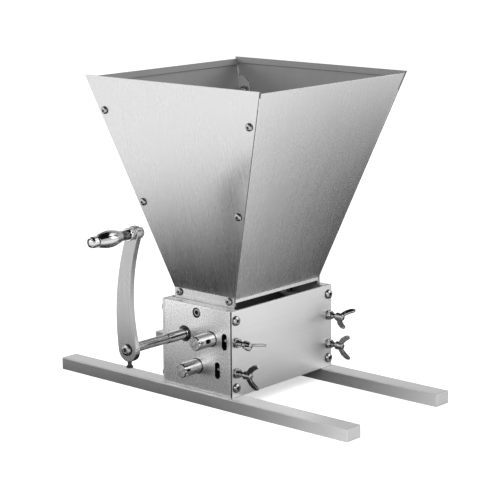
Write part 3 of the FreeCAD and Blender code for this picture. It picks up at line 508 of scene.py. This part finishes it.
def knurled(near_end, far_end):
    """A roller about the X axis: end profiles, with rows of points between them raised and sunk in turn."""
    edge = ROLLER_HALF - ROLLER_CHAMFER
    rows = [(-edge + 2 * edge * row / KNURL_ROWS, ROLLER) for row in range(KNURL_ROWS + 1)]
    mesh = turned(near_end + rows + far_end, steps=KNURL_POINTS_ROUND)
    for vert in mesh.verts:
        along = round((vert.co.x + edge) / (2 * edge) * KNURL_ROWS)
        if 0 < along < KNURL_ROWS and math.hypot(vert.co.y, vert.co.z) > ROLLER - NEARLY:
            angle = math.atan2(vert.co.z, vert.co.y) / math.tau * KNURL_POINTS_ROUND
            if (round(angle) + along) % 2:
                share = 1 - KNURL_DEPTH / ROLLER
                vert.co.y *= share
                vert.co.z *= share
    return mesh


def journal(end):
    """The profile of a far journal, from the roller's end face to the journal's own end."""
    return [(ROLLER_HALF, ROLLER - ROLLER_CHAMFER), (ROLLER_HALF, JOURNAL),
            (end - JOURNAL_CHAMFER, JOURNAL), (end, JOURNAL - JOURNAL_CHAMFER), (end, 0)]


def beyond_roller(face):
    """Whether a face lies on a journal or on the shaft."""
    return abs(face.center.x) > MILLIMETRE * (ROLLER_HALF + 0.1)


NO_THROW = (0.0, 0.0)
UPPER_THROW = (0.0, 1.0)
LOWER_THROW = (0.88521, -0.46519)
idle_far = journal(IDLE_END)
idle_near = [(-along, out) for along, out in reversed(idle_far)]
drive_near = [(SHAFT_END, 0), (SHAFT_END, SHAFT - SHAFT_CHAMFER), (SHAFT_END + SHAFT_CHAMFER, SHAFT),
              (SHAFT_STEP, SHAFT), (SHAFT_STEP, JOURNAL - SHAFT_CHAMFER),
              (SHAFT_STEP + SHAFT_CHAMFER, JOURNAL), (-ROLLER_HALF, JOURNAL),
              (-ROLLER_HALF, ROLLER - ROLLER_CHAMFER)]
for node, body, ends, y, z, throw in (
        ("drive_roller", "drive", (drive_near, journal(DRIVE_END)), DRIVE_Y, DRIVE_Z, NO_THROW),
        ("upper_roller", "upper_idler", (idle_near, idle_far), UPPER_Y, UPPER_Z, UPPER_THROW),
        ("lower_roller", "lower_idler", (idle_near, idle_far), LOWER_Y, LOWER_Z, LOWER_THROW)):
    mesh = knurled(*ends)
    bmesh.ops.translate(mesh, verts=mesh.verts, vec=(0, y + throw[0], z + throw[1]))
    refinish(dress(node, mesh, roller_steel, body), shaft_painted_reflections, beyond_roller)

# Adjusters: eccentric cams that each carry one end of an idle roller. The round knob outside
# the plate turns the cam and so sets the gap; a notch in its rim marks where it stands.
# Turned from bright bar and polished, with the knobs' ends left as they were faced.
CAM, CAM_FACE, CAM_CHAMFER = 10.0, 72.0, 0.4
KNOB, KNOB_END = 7.0, 98.0
KNOB_CHAMFER, KNOB_BEVEL = 1.0, 0.8
MARK_START, MARK_LENGTH = 95.5, 5.0
MARK_LOW, MARK_HIGH, MARK_HALF = 5.0, 9.0, 0.8
polished = grained_metal("polished_steel", 0.38, 0.62, roughness=0.06, grain=(1200.0, 60.0, 60.0),
                         scratch=0.03, smear=0.04)
faced = grained_metal("faced_steel", 0.12, 0.95, roughness=0.30, grain=(200.0, 330.0, 330.0),
                      scratch=0.40, contrast=2.5, Metallic=0.75)
cam_and_knob = [(INNER, 0), (INNER, CAM), (CAM_FACE - CAM_CHAMFER, CAM), (CAM_FACE, CAM - CAM_CHAMFER),
                (CAM_FACE, KNOB), (KNOB_END - KNOB_CHAMFER, KNOB), (KNOB_END, KNOB - KNOB_BEVEL),
                (KNOB_END, 0)]
for level, y, z, throw in (("upper", UPPER_Y, UPPER_Z, UPPER_THROW),
                           ("lower", LOWER_Y, LOWER_Z, LOWER_THROW)):
    for end, side, turn in (("near", -1, NEARWARD), ("far", 1, FARWARD)):
        mesh = turned(cam_and_knob, steps=64)
        bmesh.ops.transform(mesh, verts=mesh.verts, matrix=turn)
        mark = bmesh.new()
        bar(mark, [(side * MARK_START, MARK_LOW, -MARK_HALF), (side * MARK_START, MARK_HIGH, -MARK_HALF),
                   (side * MARK_START, MARK_HIGH, MARK_HALF), (side * MARK_START, MARK_LOW, MARK_HALF)],
            (side * MARK_LENGTH, 0, 0))
        bore = turned(straight_hole(CUT_START, CAM_FACE, JOURNAL_HOLE))
        bmesh.ops.transform(bore, verts=bore.verts, matrix=turn)
        bmesh.ops.translate(bore, verts=bore.verts, vec=(0, *throw))
        mesh = carved(mesh, [mark, bore])
        bmesh.ops.translate(mesh, verts=mesh.verts, vec=(0, y, z))
        knob = dress(f"{level}_{end}_adjuster", mesh, polished, f"{level}_{end}_cam")
        refinish(knob, faced, facing(side, 0, 0))

# Wing screws: they clamp the four adjusters through the front edges of the end plates.
# A rolled M5 thread, a stubby hub and two cast wings splayed like a V, all bright plated.
THREAD, THREAD_DEPTH, THREAD_PITCH, THREAD_STEPS = 2.5, 0.45, 0.8, 20
THREAD_END = 11.5
UPPER_TIP = -16.7
LOWER_TIP = -34.7
WING_HUB = ((11, 0), (11, 3.9), (11.5, 4.25), (17.5, 3.5), (18.6, 3.0), (19, 2.2), (19, 0))
WING = ((12.5, 1.5), (13.5, 4.0), (17.0, 8.6), (21.5, 11.6), (25.0, 12.5), (27.4, 12.0), (28.0, 10.4),
        (26.6, 8.6), (23.0, 6.4), (19.5, 3.2), (18.4, 1.5))
WING_HALF, WING_ROUNDING = 1.1, 0.7


def threaded(start, end):
    """A V thread about the X axis: a zigzag line, spun once round while it climbs by one pitch."""
    mesh = bmesh.new()
    turns = round((end - start) / THREAD_PITCH)
    pitch = (end - start) / (turns + 1)
    points = [mesh.verts.new((start + pitch * half / 2, THREAD - THREAD_DEPTH * (half % 2), 0))
              for half in range(2 * turns + 1)]
    lines = [mesh.edges.new(pair) for pair in zip(points, points[1:])]
    bmesh.ops.spin(mesh, geom=points + lines, cent=(0, 0, 0), axis=(1, 0, 0), angle=math.tau,
                   dvec=(pitch / THREAD_STEPS, 0, 0), steps=THREAD_STEPS)
    bmesh.ops.remove_doubles(mesh, verts=mesh.verts, dist=SAME_PLACE)
    bmesh.ops.holes_fill(mesh, edges=[edge for edge in mesh.edges if edge.is_boundary], sides=0)
    return mesh


def add_mesh(mesh, extra):
    """Put the extra mesh into the first one, as it stands."""
    data = as_data("extra", extra)
    mesh.from_mesh(data)
    bpy.data.meshes.remove(data)


def wing_screw(tip):
    """A wing screw along +X from the plate's face, its wings in the XZ plane."""
    mesh = threaded(tip, THREAD_END)
    add_mesh(mesh, turned(WING_HUB, steps=40))
    for side in (1, -1):
        wing = bmesh.new()
        bar(wing, [(along, -WING_HALF, side * out) for along, out in WING], (0, 2 * WING_HALF, 0))
        soften(wing, WING_ROUNDING, segments=4, sharper=1.2)
        add_mesh(mesh, wing)
    return mesh


for node, x, z, tip, roll in (
        ("upper_near_wing_screw", -PLATE_MIDDLE, UPPER_Z, UPPER_TIP, 90),
        ("lower_near_wing_screw", -PLATE_MIDDLE, LOWER_Z, LOWER_TIP, 0),
        ("upper_far_wing_screw", PLATE_MIDDLE, UPPER_Z, UPPER_TIP, 130),
        ("lower_far_wing_screw", PLATE_MIDDLE, LOWER_Z, LOWER_TIP, 0)):
    own = placed((x, -SIDE_FACE, z), FRONTWARD @ Matrix.Rotation(math.radians(roll), 4, "X"))
    body = node.replace("wing_screw", "clamp")
    dress(node, copies(wing_screw(tip), [own]), plated, body)

# Washers and lock nuts under the wing screws, and the captive nuts that show in the windows.
# Pressed washers and M5 hexagon nuts with turned corners, plated like the screws.
WASHER, WASHER_THICK, WASHER_EDGE = 5.0, 1.0, 0.15
clamps = [placed((x, -SIDE_FACE, z), FRONTWARD) for x in PLATE_ENDS for z in (UPPER_Z, LOWER_Z)]
washer = turned([(0, SCREW_HOLE), (0, WASHER - WASHER_EDGE), (WASHER_EDGE, WASHER),
                 (WASHER_THICK - WASHER_EDGE, WASHER), (WASHER_THICK, WASHER - WASHER_EDGE),
                 (WASHER_THICK, SCREW_HOLE), (0, SCREW_HOLE)])
dress("clamp_washers", copies(washer, clamps), plated, "frame")


def hexagon_nut(flats, height, hole):
    """A nut along +X from the plane x = 0, with its corners turned off at both faces."""
    corner = flats / math.sqrt(3)
    chamfer = flats / 2 * 0.96
    mesh = turned([(0, hole), (0, chamfer), (height * 0.14, corner), (height * 0.86, corner),
                   (height, chamfer), (height, hole), (0, hole)])
    hexed(mesh, flats)
    return mesh


def nuts(node, nut, places):
    """Plated nuts at their places."""
    dress(node, copies(nut, places), plated, "frame")


NUT_HEIGHT = 4.0
M5_NUT = {"flats": 8.0, "height": NUT_HEIGHT, "hole": SCREW_HOLE}
off_face = Matrix.Translation(Vector((WASHER_THICK, 0, 0)))
nuts("clamp_lock_nuts", hexagon_nut(**M5_NUT), [place @ off_face for place in clamps])
nuts("captive_nuts", hexagon_nut(**M5_NUT), [
    placed((x, y - WINDOW_WIDTH / 2 + NUT_HEIGHT, z), FRONTWARD) for x in PLATE_ENDS for y, z in WINDOWS])

# Hopper fixing screws: M5 socket caps sunk in the top of each end plate,
# through the hopper's collar into a nut inside the box.
COLLAR_INSIDE = 62.7
screw_down("hopper_fixing_screws", socket_screw(11.2, **CAP_HEAD), [
    placed((-FIXING_SEAT, 0, FIXING_Z), NEARWARD), placed((FIXING_SEAT, 0, FIXING_Z), FARWARD)])
nuts("hopper_fixing_nuts", hexagon_nut(**M5_NUT), [
    placed((-COLLAR_INSIDE, 0, FIXING_Z), FARWARD), placed((COLLAR_INSIDE, 0, FIXING_Z), NEARWARD)])

# Hopper end panels: stainless sheet, brushed up and down, cut to a trapezium and bent once.
# The collar below the bend slips inside the end plate, and the rim is hemmed inwards.
# The side edges are painted dark, as painted shade in the corner joints, and the inside keeps the dull finish
# of the mill.
SHEET = 1.2
SHEET_ROUNDING = 0.3
FOLD = 106.470
MOUTH = 310.570
COLLAR_LOW = 84.470
COLLAR = 63.9
MOUTH_X = 109.0
MOUTH_Y = 109.3
THROAT_Y = 38.7
HEM = 6.0
SLOPE_X = (MOUTH_X - COLLAR) / (MOUTH - FOLD)
SLOPE_Y = (MOUTH_Y - THROAT_Y) / (MOUTH - FOLD)
LEVEL_X = SHEET * math.hypot(1, SLOPE_X)
LEVEL_Y = SHEET * math.hypot(1, SLOPE_Y)
CRISP_FOLDS = 9
INWARD, EDGEWISE = 0.7, 0.85


def sheet_section(start, low, fold, top, slope, level):
    """Half of a bent sheet's outline on the minus side, as (across, up): collar, bend, wall and hem."""
    inner_fold = fold + (level - SHEET) / slope
    rim = -start - slope * (top - fold)
    foot = -start - slope * (top - HEM - fold) + level
    return [(-start, low), (-start, fold), (rim, top), (rim + 2 * level, top), (foot + level, top - HEM),
            (foot, top - HEM), (SHEET - start, inner_fold), (SHEET - start, low)]


def end_half(height):
    """Half of an end panel's width at a height."""
    return THROAT_Y + SLOPE_Y * max(height - FOLD, 0)


# Painted shade: the end panels' sheet is painted darker than the same sheet on the side panels.
end_sheet_painted_shade = grained_metal("end_sheet_painted_shade", 0.50, 0.56, roughness=0.27, grain=(0.0, 330.0, 3.5), scratch=0.025)
mill_finish = grained_metal("mill_finish", 0.18, 0.27, roughness=0.45, grain=(60.0, 60.0, 60.0),
                            scratch=0.10, smear=0.12, Metallic=0.45)
for node, side in (("near_hopper_panel", 1), ("far_hopper_panel", -1)):
    mesh = bmesh.new()
    section = sheet_section(COLLAR, COLLAR_LOW, FOLD, MOUTH, SLOPE_X, LEVEL_X)
    left, right = bar(mesh, [(side * x, 0, z) for x, z in section], (0, 1, 0))
    for verts, sign in ((left, -1), (right, 1)):
        for vert in verts:
            vert.co.y = sign * end_half(vert.co.z)
    soften(mesh, SHEET_ROUNDING, sharper=1.0)
    panel = dress(node, mesh, end_sheet_painted_shade, "frame", CRISP_FOLDS)
    refinish(panel, mill_finish, facing(side, 0, 0, INWARD))
    # Painted shade: the side edges take the near-black edge finish.
    for way in (-1, 1):
        refinish(panel, painted_joint_shade, facing(0, way, 0, EDGEWISE))

# Hopper side panels: the same sheet, with tabs bent along both sloping edges that lie
# on the inner faces of the end panels, and a short upright foot over the gap to the side plate.
SIDE_TOP = 308.570
SIDE_LOW = 101.470
SIDE_FOLD = 104.970
SIDE_THROAT = MOUTH_Y - SLOPE_Y * (MOUTH - SIDE_FOLD)
STOP = 62.65
STOP_FOLD = FOLD + (LEVEL_X - SHEET) / SLOPE_X
HEM_NOTCH = MOUTH - HEM - 0.05
TAB_TOP = 292.570
TAB_LOW = 97.970
TAB_WIDTH = 15.0
TAB_CORNER = 6.0
TAB_ROUNDING = 0.25
side_sheet = grained_metal("side_sheet", 0.60, 0.67, roughness=0.27, grain=(330.0, 0.0, 3.5), scratch=0.025)


def side_half(height):
    """Half of a side panel's width at a height, less beside the hems of the end panels."""
    reach = STOP + SLOPE_X * max(height - STOP_FOLD, 0)
    return reach - LEVEL_X if height > HEM_NOTCH else reach


def side_at(height):
    """How far out a side panel's outer face stands at a height."""
    return SIDE_THROAT + SLOPE_Y * max(height - SIDE_FOLD, 0)


tab_outline = [(-SIDE_THROAT, TAB_LOW), (-SIDE_THROAT, SIDE_FOLD), (-side_at(TAB_TOP), TAB_TOP),
               (TAB_WIDTH - TAB_CORNER - side_at(TAB_TOP), TAB_TOP),
               (TAB_WIDTH - side_at(TAB_TOP - TAB_CORNER), TAB_TOP - TAB_CORNER),
               (TAB_WIDTH - SIDE_THROAT, SIDE_FOLD), (TAB_WIDTH - SIDE_THROAT, TAB_LOW)]
for node, side in (("front_hopper_panel", 1), ("back_hopper_panel", -1)):
    mesh = bmesh.new()
    section = sheet_section(SIDE_THROAT, SIDE_LOW, SIDE_FOLD, SIDE_TOP, SLOPE_Y, LEVEL_Y)
    left, right = bar(mesh, [(0, side * y, z) for y, z in section], (1, 0, 0))
    for verts, sign in ((left, -1), (right, 1)):
        for vert in verts:
            vert.co.x = sign * side_half(vert.co.z)
    soften(mesh, SHEET_ROUNDING, sharper=1.0)
    for sign in (1, -1):
        tab = bmesh.new()
        bar(tab, [(0, side * y, z) for y, z in tab_outline], (1, 0, 0))
        bmesh.ops.bisect_plane(tab, geom=tab.verts[:] + tab.edges[:] + tab.faces[:], dist=SAME_PLACE,
                               plane_co=(0, 0, STOP_FOLD), plane_no=(0, 0, 1))
        for vert in tab.verts:
            lean = SLOPE_X * max(vert.co.z - STOP_FOLD, 0)
            vert.co.x = sign * (STOP + lean - SHEET * (1 - vert.co.x))
        soften(tab, TAB_ROUNDING, sharper=1.0)
        add_mesh(mesh, tab)
    panel = dress(node, mesh, side_sheet, "frame", CRISP_FOLDS)
    refinish(panel, mill_finish, facing(0, side, 0, INWARD))

# Hopper screws and nuts: M4 button heads down each sloping edge of the end panels,
# through the tabs behind into hexagon nuts; the lowest pair sits in the collar.
SCREW_INSET = 7.0
FOOT_SCREW = 102.470
TOP_SCREW = 277.570
SMALL_NUT_HEIGHT = 3.2
TAB_GAP = 0.05
panel_places = []
for side in (-1, 1):
    for height in (TOP_SCREW, (TOP_SCREW + FOOT_SCREW) / 2, FOOT_SCREW):
        rise = max(height - FOLD, 0)
        square = NEARWARD if side < 0 else FARWARD
        if rise:
            square = square @ Matrix.Rotation(math.atan(SLOPE_X), 4, "Y")
        for sign in (1, -1):
            panel_places.append(placed((side * (COLLAR + SLOPE_X * rise),
                                        sign * (end_half(height) - SCREW_INSET), height), square))
small_button = socket_screw(8.0, shank=2.0, head=3.75, height=2.4, crown=1.9, flats=2.5, depth=1.2)
screw_down("hopper_screws", small_button, panel_places)
behind = Matrix.Translation(Vector((-2 * SHEET - TAB_GAP - SMALL_NUT_HEIGHT, 0, 0)))
small_nut = hexagon_nut(flats=7.0, height=SMALL_NUT_HEIGHT, hole=2.02)
nuts("hopper_nuts", small_nut, [place @ behind for place in panel_places])

# Crank arm: a flat steel bar bowed in its own plane, wider at the shaft than at the grip.
# Cut from plate, ground to a satin and rounded along its edges.
ARM_OUT = -153.0
ARM_THICK = 6.0
ARM_ROUNDING = 0.7
HUB_RADIUS, END_RADIUS = 11.5, 7.0
OUTER_BOW, INNER_BOW = 220.0, 165.0
ARM_LEAN, ARM_REACH = 9.5, 111.0
GRIP_Y, GRIP_Z = DRIVE_Y - ARM_LEAN, DRIVE_Z + ARM_REACH
SHAFT_HOLE, STUD_HOLE = 4.52, 3.02
ARM_CUT_START, ARM_CUT_END = -160.0, -140.0
HUB = Vector((ARM_OUT, 0, 0))
GRIP_END = Vector((ARM_OUT, -ARM_LEAN, ARM_REACH))
crank_steel = grained_metal("crank_steel", 0.27, 0.40, roughness=0.22, grain=(500.0, 700.0, 25.0),
                            scratch=0.12)


def bow_centre(hub_reach, end_reach):
    """The centre of a bow at known distances from the hub and from the grip's end."""
    span = (GRIP_END - HUB).length
    along = (hub_reach ** 2 - end_reach ** 2 + span ** 2) / (2 * span)
    aside = math.sqrt(hub_reach ** 2 - along ** 2)
    line = (GRIP_END - HUB).normalized()
    return HUB + line * along + Vector((0, -line.z, line.y)) * aside


def sweep(mesh, point, centre, goal, steps, long_way=False):
    """Spin a point round a centre, the way that the outline runs, until it reaches its goal."""
    start, finish = point.co - centre, goal - centre
    angle = math.atan2(start.y * finish.z - start.z * finish.y, start.dot(finish))
    if long_way and angle < 0:
        angle += math.tau
    spun = bmesh.ops.spin(mesh, geom=[point], cent=centre, axis=(1, 0, 0), angle=angle, steps=steps)
    return next(part for part in spun["geom_last"] if isinstance(part, bmesh.types.BMVert))


outer_centre = bow_centre(OUTER_BOW - HUB_RADIUS, OUTER_BOW - END_RADIUS)
inner_centre = bow_centre(INNER_BOW + HUB_RADIUS, INNER_BOW + END_RADIUS)
mesh = bmesh.new()
point = mesh.verts.new(HUB + (inner_centre - HUB).normalized() * HUB_RADIUS)
start_at = point.co.copy()
bow_starts = outer_centre + (HUB - outer_centre).normalized() * OUTER_BOW
bow_ends = outer_centre + (GRIP_END - outer_centre).normalized() * OUTER_BOW
end_stops = GRIP_END + (inner_centre - GRIP_END).normalized() * END_RADIUS
point = sweep(mesh, point, HUB, bow_starts, steps=40, long_way=True)
point = sweep(mesh, point, outer_centre, bow_ends, steps=20)
point = sweep(mesh, point, GRIP_END, end_stops, steps=32, long_way=True)
sweep(mesh, point, inner_centre, start_at, steps=20)
bmesh.ops.remove_doubles(mesh, verts=mesh.verts, dist=NEARLY)
flat = bmesh.ops.contextual_create(mesh, geom=mesh.edges[:])["faces"]
grown = bmesh.ops.extrude_face_region(mesh, geom=flat)["geom"]
back_face = [part for part in grown if isinstance(part, bmesh.types.BMVert)]
bmesh.ops.translate(mesh, vec=(ARM_THICK, 0, 0), verts=back_face)
soften(mesh, ARM_ROUNDING, segments=3, sharper=1.0)
bmesh.ops.translate(mesh, verts=mesh.verts, vec=(0, DRIVE_Y, DRIVE_Z))
holes = []
for y, z, radius in ((DRIVE_Y, DRIVE_Z, SHAFT_HOLE), (GRIP_Y, GRIP_Z, STUD_HOLE)):
    hole = turned(straight_hole(ARM_CUT_START, ARM_CUT_END, radius))
    bmesh.ops.translate(hole, verts=hole.verts, vec=(0, y, z))
    holes.append(hole)
dress("crank_arm", carved(mesh, holes), crank_steel, "drive")

# Crank screws: a domed socket screw in the end of the shaft clamps the arm on,
# and a small black set screw below the hub keeps it from slipping.
end_screw = socket_screw(12.0, shank=2.5, head=5.5, height=3.0, crown=3.5, flats=4.0, depth=1.5)
screw_down("crank_end_screw", end_screw, [placed((ARM_OUT, DRIVE_Y, DRIVE_Z), NEARWARD)], "drive")
SET_SCREW = ((SHAFT_HOLE, 0), (SHAFT_HOLE, 2), (15.5, 2), (15.5, 2.7), (16.1, 3.3), (17.3, 3.3),
             (17.7, 2.9), (17.7, 0))
under_hub = placed((ARM_OUT + ARM_THICK / 2, DRIVE_Y, DRIVE_Z), DOWNWARD)
dress("crank_set_screw", copies(turned(SET_SCREW), [under_hub]), black_steel_and_painted_shade, "drive")

# Grip spindle: a stud through the arm's end, with a hexagon and a collar against the arm,
# a nut behind it, and a plain shank on which the grip turns. Turned and polished.
HEX = 10.0
HEX_CORNER = HEX / math.sqrt(3)
STUD_END = 50.42
at_grip = placed((ARM_OUT, GRIP_Y, GRIP_Z), NEARWARD)
STUD = ((-11.5, 0), (-11.5, 2.7), (-11.2, 3), (0, 3), (0, 4.8), (0.5, HEX_CORNER), (4.0, HEX_CORNER),
        (4.5, 4.8), (4.5, 6.0), (4.75, 6.25), (6.25, 6.25), (6.5, 6.0), (6.5, 3), (STUD_END, 3),
        (STUD_END, 0))
spindle = turned(STUD)
hexed(spindle, HEX)
dress("grip_spindle", copies(spindle, [at_grip]), polished, "drive")
behind_arm = placed((ARM_OUT + ARM_THICK, GRIP_Y, GRIP_Z), FARWARD)
grip_nut = hexagon_nut(flats=HEX, height=5.0, hole=STUD_HOLE)
dress("grip_nut", copies(grip_nut, [behind_arm]), polished, "drive")

# Grip: a bullet-shaped steel sleeve, polished, with a narrow neck painted dark as painted shade
# and a groove near its tip. It spins on the spindle and a small screw in its end keeps it there.
GRIP_START = 6.8
NECK = 9.5
BULLET = ((0, 3.05), (43.6, 3.05), (43.6, 4), (46, 4), (45.9, 4.4), (45.2, 4.8), (44.2, 5.1), (43, 5.2),
          (39.5, 5.2), (39.2, 4.3), (38.2, 4.3), (38, 5.65), (36, 6.0), (33, 6.6), (30, 7.2), (27, 7.7),
          (24.5, 7.95), (22, 8.0), (19.5, 7.85), (17, 7.5), (14.5, 6.9), (12, 6.15), (9.5, 5.4), (7.5, 4.9),
          (6, 4.65), (4, 4.6), (0.4, 4.65), (0, 4.3), (0, 3.05))
# Painted shade: the neck next to the arm is painted near-black.
neck_painted_shade = grained_metal("neck_painted_shade_finish", 0.05, 0.16, roughness=0.10, grain=(1200.0, 60.0, 60.0),
                          scratch=0.03, smear=0.04)
grip = turned([(GRIP_START + along, out) for along, out in BULLET], steps=64)


def on_neck(face):
    return face.center.x > MILLIMETRE * (ARM_OUT - GRIP_START - NECK)


sleeve = dress("grip", copies(grip, [at_grip]), polished, "turning_grip")
refinish(sleeve, neck_painted_shade, on_neck)
TIP_SCREW = ((42.42, 0), (42.42, 1.5), (STUD_END, 1.5), (STUD_END, 3.6), (51.4, 3.6), (52.1, 3.0),
             (52.42, 2.2), (52.42, 0))
dress("grip_tip_screw", copies(turned(TIP_SCREW), [at_grip]), polished, "drive")

# Stage: a plain pale floor that keeps the mill's shadow and turns to white for the camera,
# as the paper does in a small photo tent.
FLOOR_HALF, FLOOR_DROP = 12.0, -0.0002
FLOOR_GLOW = 0.6


def stage_sheet(name, half):
    """A flat square of the stage with an empty material, and that material's node tree."""
    mesh = bmesh.new()
    bmesh.ops.create_grid(mesh, x_segments=1, y_segments=1, size=half)
    sheet = as_object(name, mesh)
    material = bpy.data.materials.new(name)
    material.use_nodes = True
    material.node_tree.nodes.clear()
    sheet.data.materials.append(material)
    return sheet, material.node_tree


def shown_rays(tree):
    """1 for the rays that show the background itself, and 0 for those that only carry light."""
    ray = tree.nodes.new("ShaderNodeLightPath").outputs
    return (Wire(tree, ray["Is Camera Ray"]) + Wire(tree, ray["Is Glossy Ray"])
            + Wire(tree, ray["Is Transmission Ray"]))


floor, tree = stage_sheet("floor", FLOOR_HALF)
floor.location.z = FLOOR_DROP
shown = shown_rays(tree)
paint = shown.node("BsdfDiffuse", {}, {"Color": grey(0.82)})
glow = shown.node("Emission", {}, {"Color": grey(1.0), "Strength": shown * FLOOR_GLOW})
both = shown.node("AddShader", {}, {0: paint, 1: glow})
both.into(tree.nodes.new("ShaderNodeOutputMaterial").inputs["Surface"])

# Dark cards: what a photographer props round shiny metal to draw dark shapes in it. Two lie on
# the floor, one hangs overhead and one stands behind the camera, all with soft edges.
# Only reflections show them.


def dark_card(name, size, matrix, inner, outer, depth=1.0):
    """A black card, fading out with the distance from its middle, as a share of its half size."""
    card, tree = stage_sheet(name, 1.0)
    card.matrix_world = matrix @ Matrix.Diagonal((*size, 1.0, 1.0))
    for way in ("camera", "diffuse", "shadow", "transmission"):
        setattr(card, "visible_" + way, False)
    place = Wire(tree, tree.nodes.new("ShaderNodeTexCoord").outputs["Object"])
    far = place.node("VectorMath", {"operation": "LENGTH"}, {0: place}, 1)
    fade = place.node("MapRange", {"interpolation_type": "SMOOTHSTEP"},
                      {0: far, 1: inner, 2: outer, 3: depth, 4: 0.0})
    clear = place.node("BsdfTransparent", {}, {})
    black = place.node("BsdfDiffuse", {}, {"Color": grey(0.01)})
    covered = place.node("MixShader", {}, {0: fade, 1: clear, 2: black})
    covered.into(tree.nodes.new("ShaderNodeOutputMaterial").inputs["Surface"])


front_turn = Matrix.Rotation(math.radians(-23), 4, "Z")
dark_card("front_card", (1.6, 0.75), placed((0.44, -0.045, 0.0001), front_turn), inner=0.16, outer=0.56)
dark_card("end_card", (0.46, 0.46), Matrix.Translation((-0.073, 0.123, 0.0002)), inner=0.2, outer=1.0)
dark_card("ceiling_card", (4.0, 4.0), Matrix.Translation((0, 0, 1.4)), inner=0.45, outer=0.9)

# Light: a white tent that is bright to the eye and dimmer as a light, with large soft lamps
# round the mill, the strongest on the side of the crank.
ROOM_LIGHT = 0.55
LAMP_AIM = Vector((0, 0, 0.13))
world = bpy.data.worlds.new("tent")
bpy.context.scene.world = world
world.use_nodes = True
background = world.node_tree.nodes["Background"].inputs
background["Color"].default_value = grey(1.0)
(ROOM_LIGHT + shown_rays(world.node_tree) * (1.0 - ROOM_LIGHT)).into(background["Strength"])
for name, place, size, power in (("left_lamp", (-1.6, -0.9, 1.3), 1.4, 26.0),
                                 ("back_lamp", (-1.5, 1.2, 0.5), 1.0, 4.0),
                                 ("top_lamp", (0.2, 0.1, 1.9), 1.6, 9.0),
                                 ("right_lamp", (1.4, -1.6, 0.9), 1.2, 8.0)):
    lamp = bpy.data.lights.new(name, "AREA")
    lamp.size = size
    lamp.energy = power
    holder = bpy.data.objects.new(name, lamp)
    holder.location = place
    holder.rotation_mode = "QUATERNION"
    holder.rotation_quaternion = (LAMP_AIM - Vector(place)).to_track_quat("-Z", "Y")
    bpy.context.scene.collection.objects.link(holder)

# Camera: a long lens at the height of the hopper, looking at the crank's end and the front.
# Its focal length is given in pixels of a square picture.
AZIMUTH, ELEVATION, ROLL = math.radians(-48.96), math.radians(12.17), math.radians(-0.28)
TARGET = Vector((0.0030, 0.0, 0.13686))
DISTANCE = 1.70565
FOCAL, PICTURE, SENSOR = 1745.5, 500, 36.0
CARD_AWAY, CARD_DROP = 2.4, -0.1
back = Vector((math.sin(AZIMUTH) * math.cos(ELEVATION), -math.cos(AZIMUTH) * math.cos(ELEVATION),
               math.sin(ELEVATION)))
turn = (-back).to_track_quat("-Z", "Y") @ Matrix.Rotation(ROLL, 3, "Z").to_quaternion()
camera = bpy.data.objects.new("camera", bpy.data.cameras.new("camera"))
camera.data.sensor_width = SENSOR
camera.data.lens = FOCAL / PICTURE * SENSOR
camera.location = TARGET + back * DISTANCE
camera.rotation_mode = "QUATERNION"
camera.rotation_quaternion = turn
bpy.context.scene.collection.objects.link(camera)
bpy.context.scene.camera = camera
bpy.context.scene.view_settings.view_transform = "Standard"
behind_camera = placed(back * CARD_AWAY + Vector((0, 0, CARD_DROP)), turn.to_matrix().to_4x4())
dark_card("camera_card", (1.6, 0.55), behind_camera, inner=0.7, outer=1.0, depth=0.95)
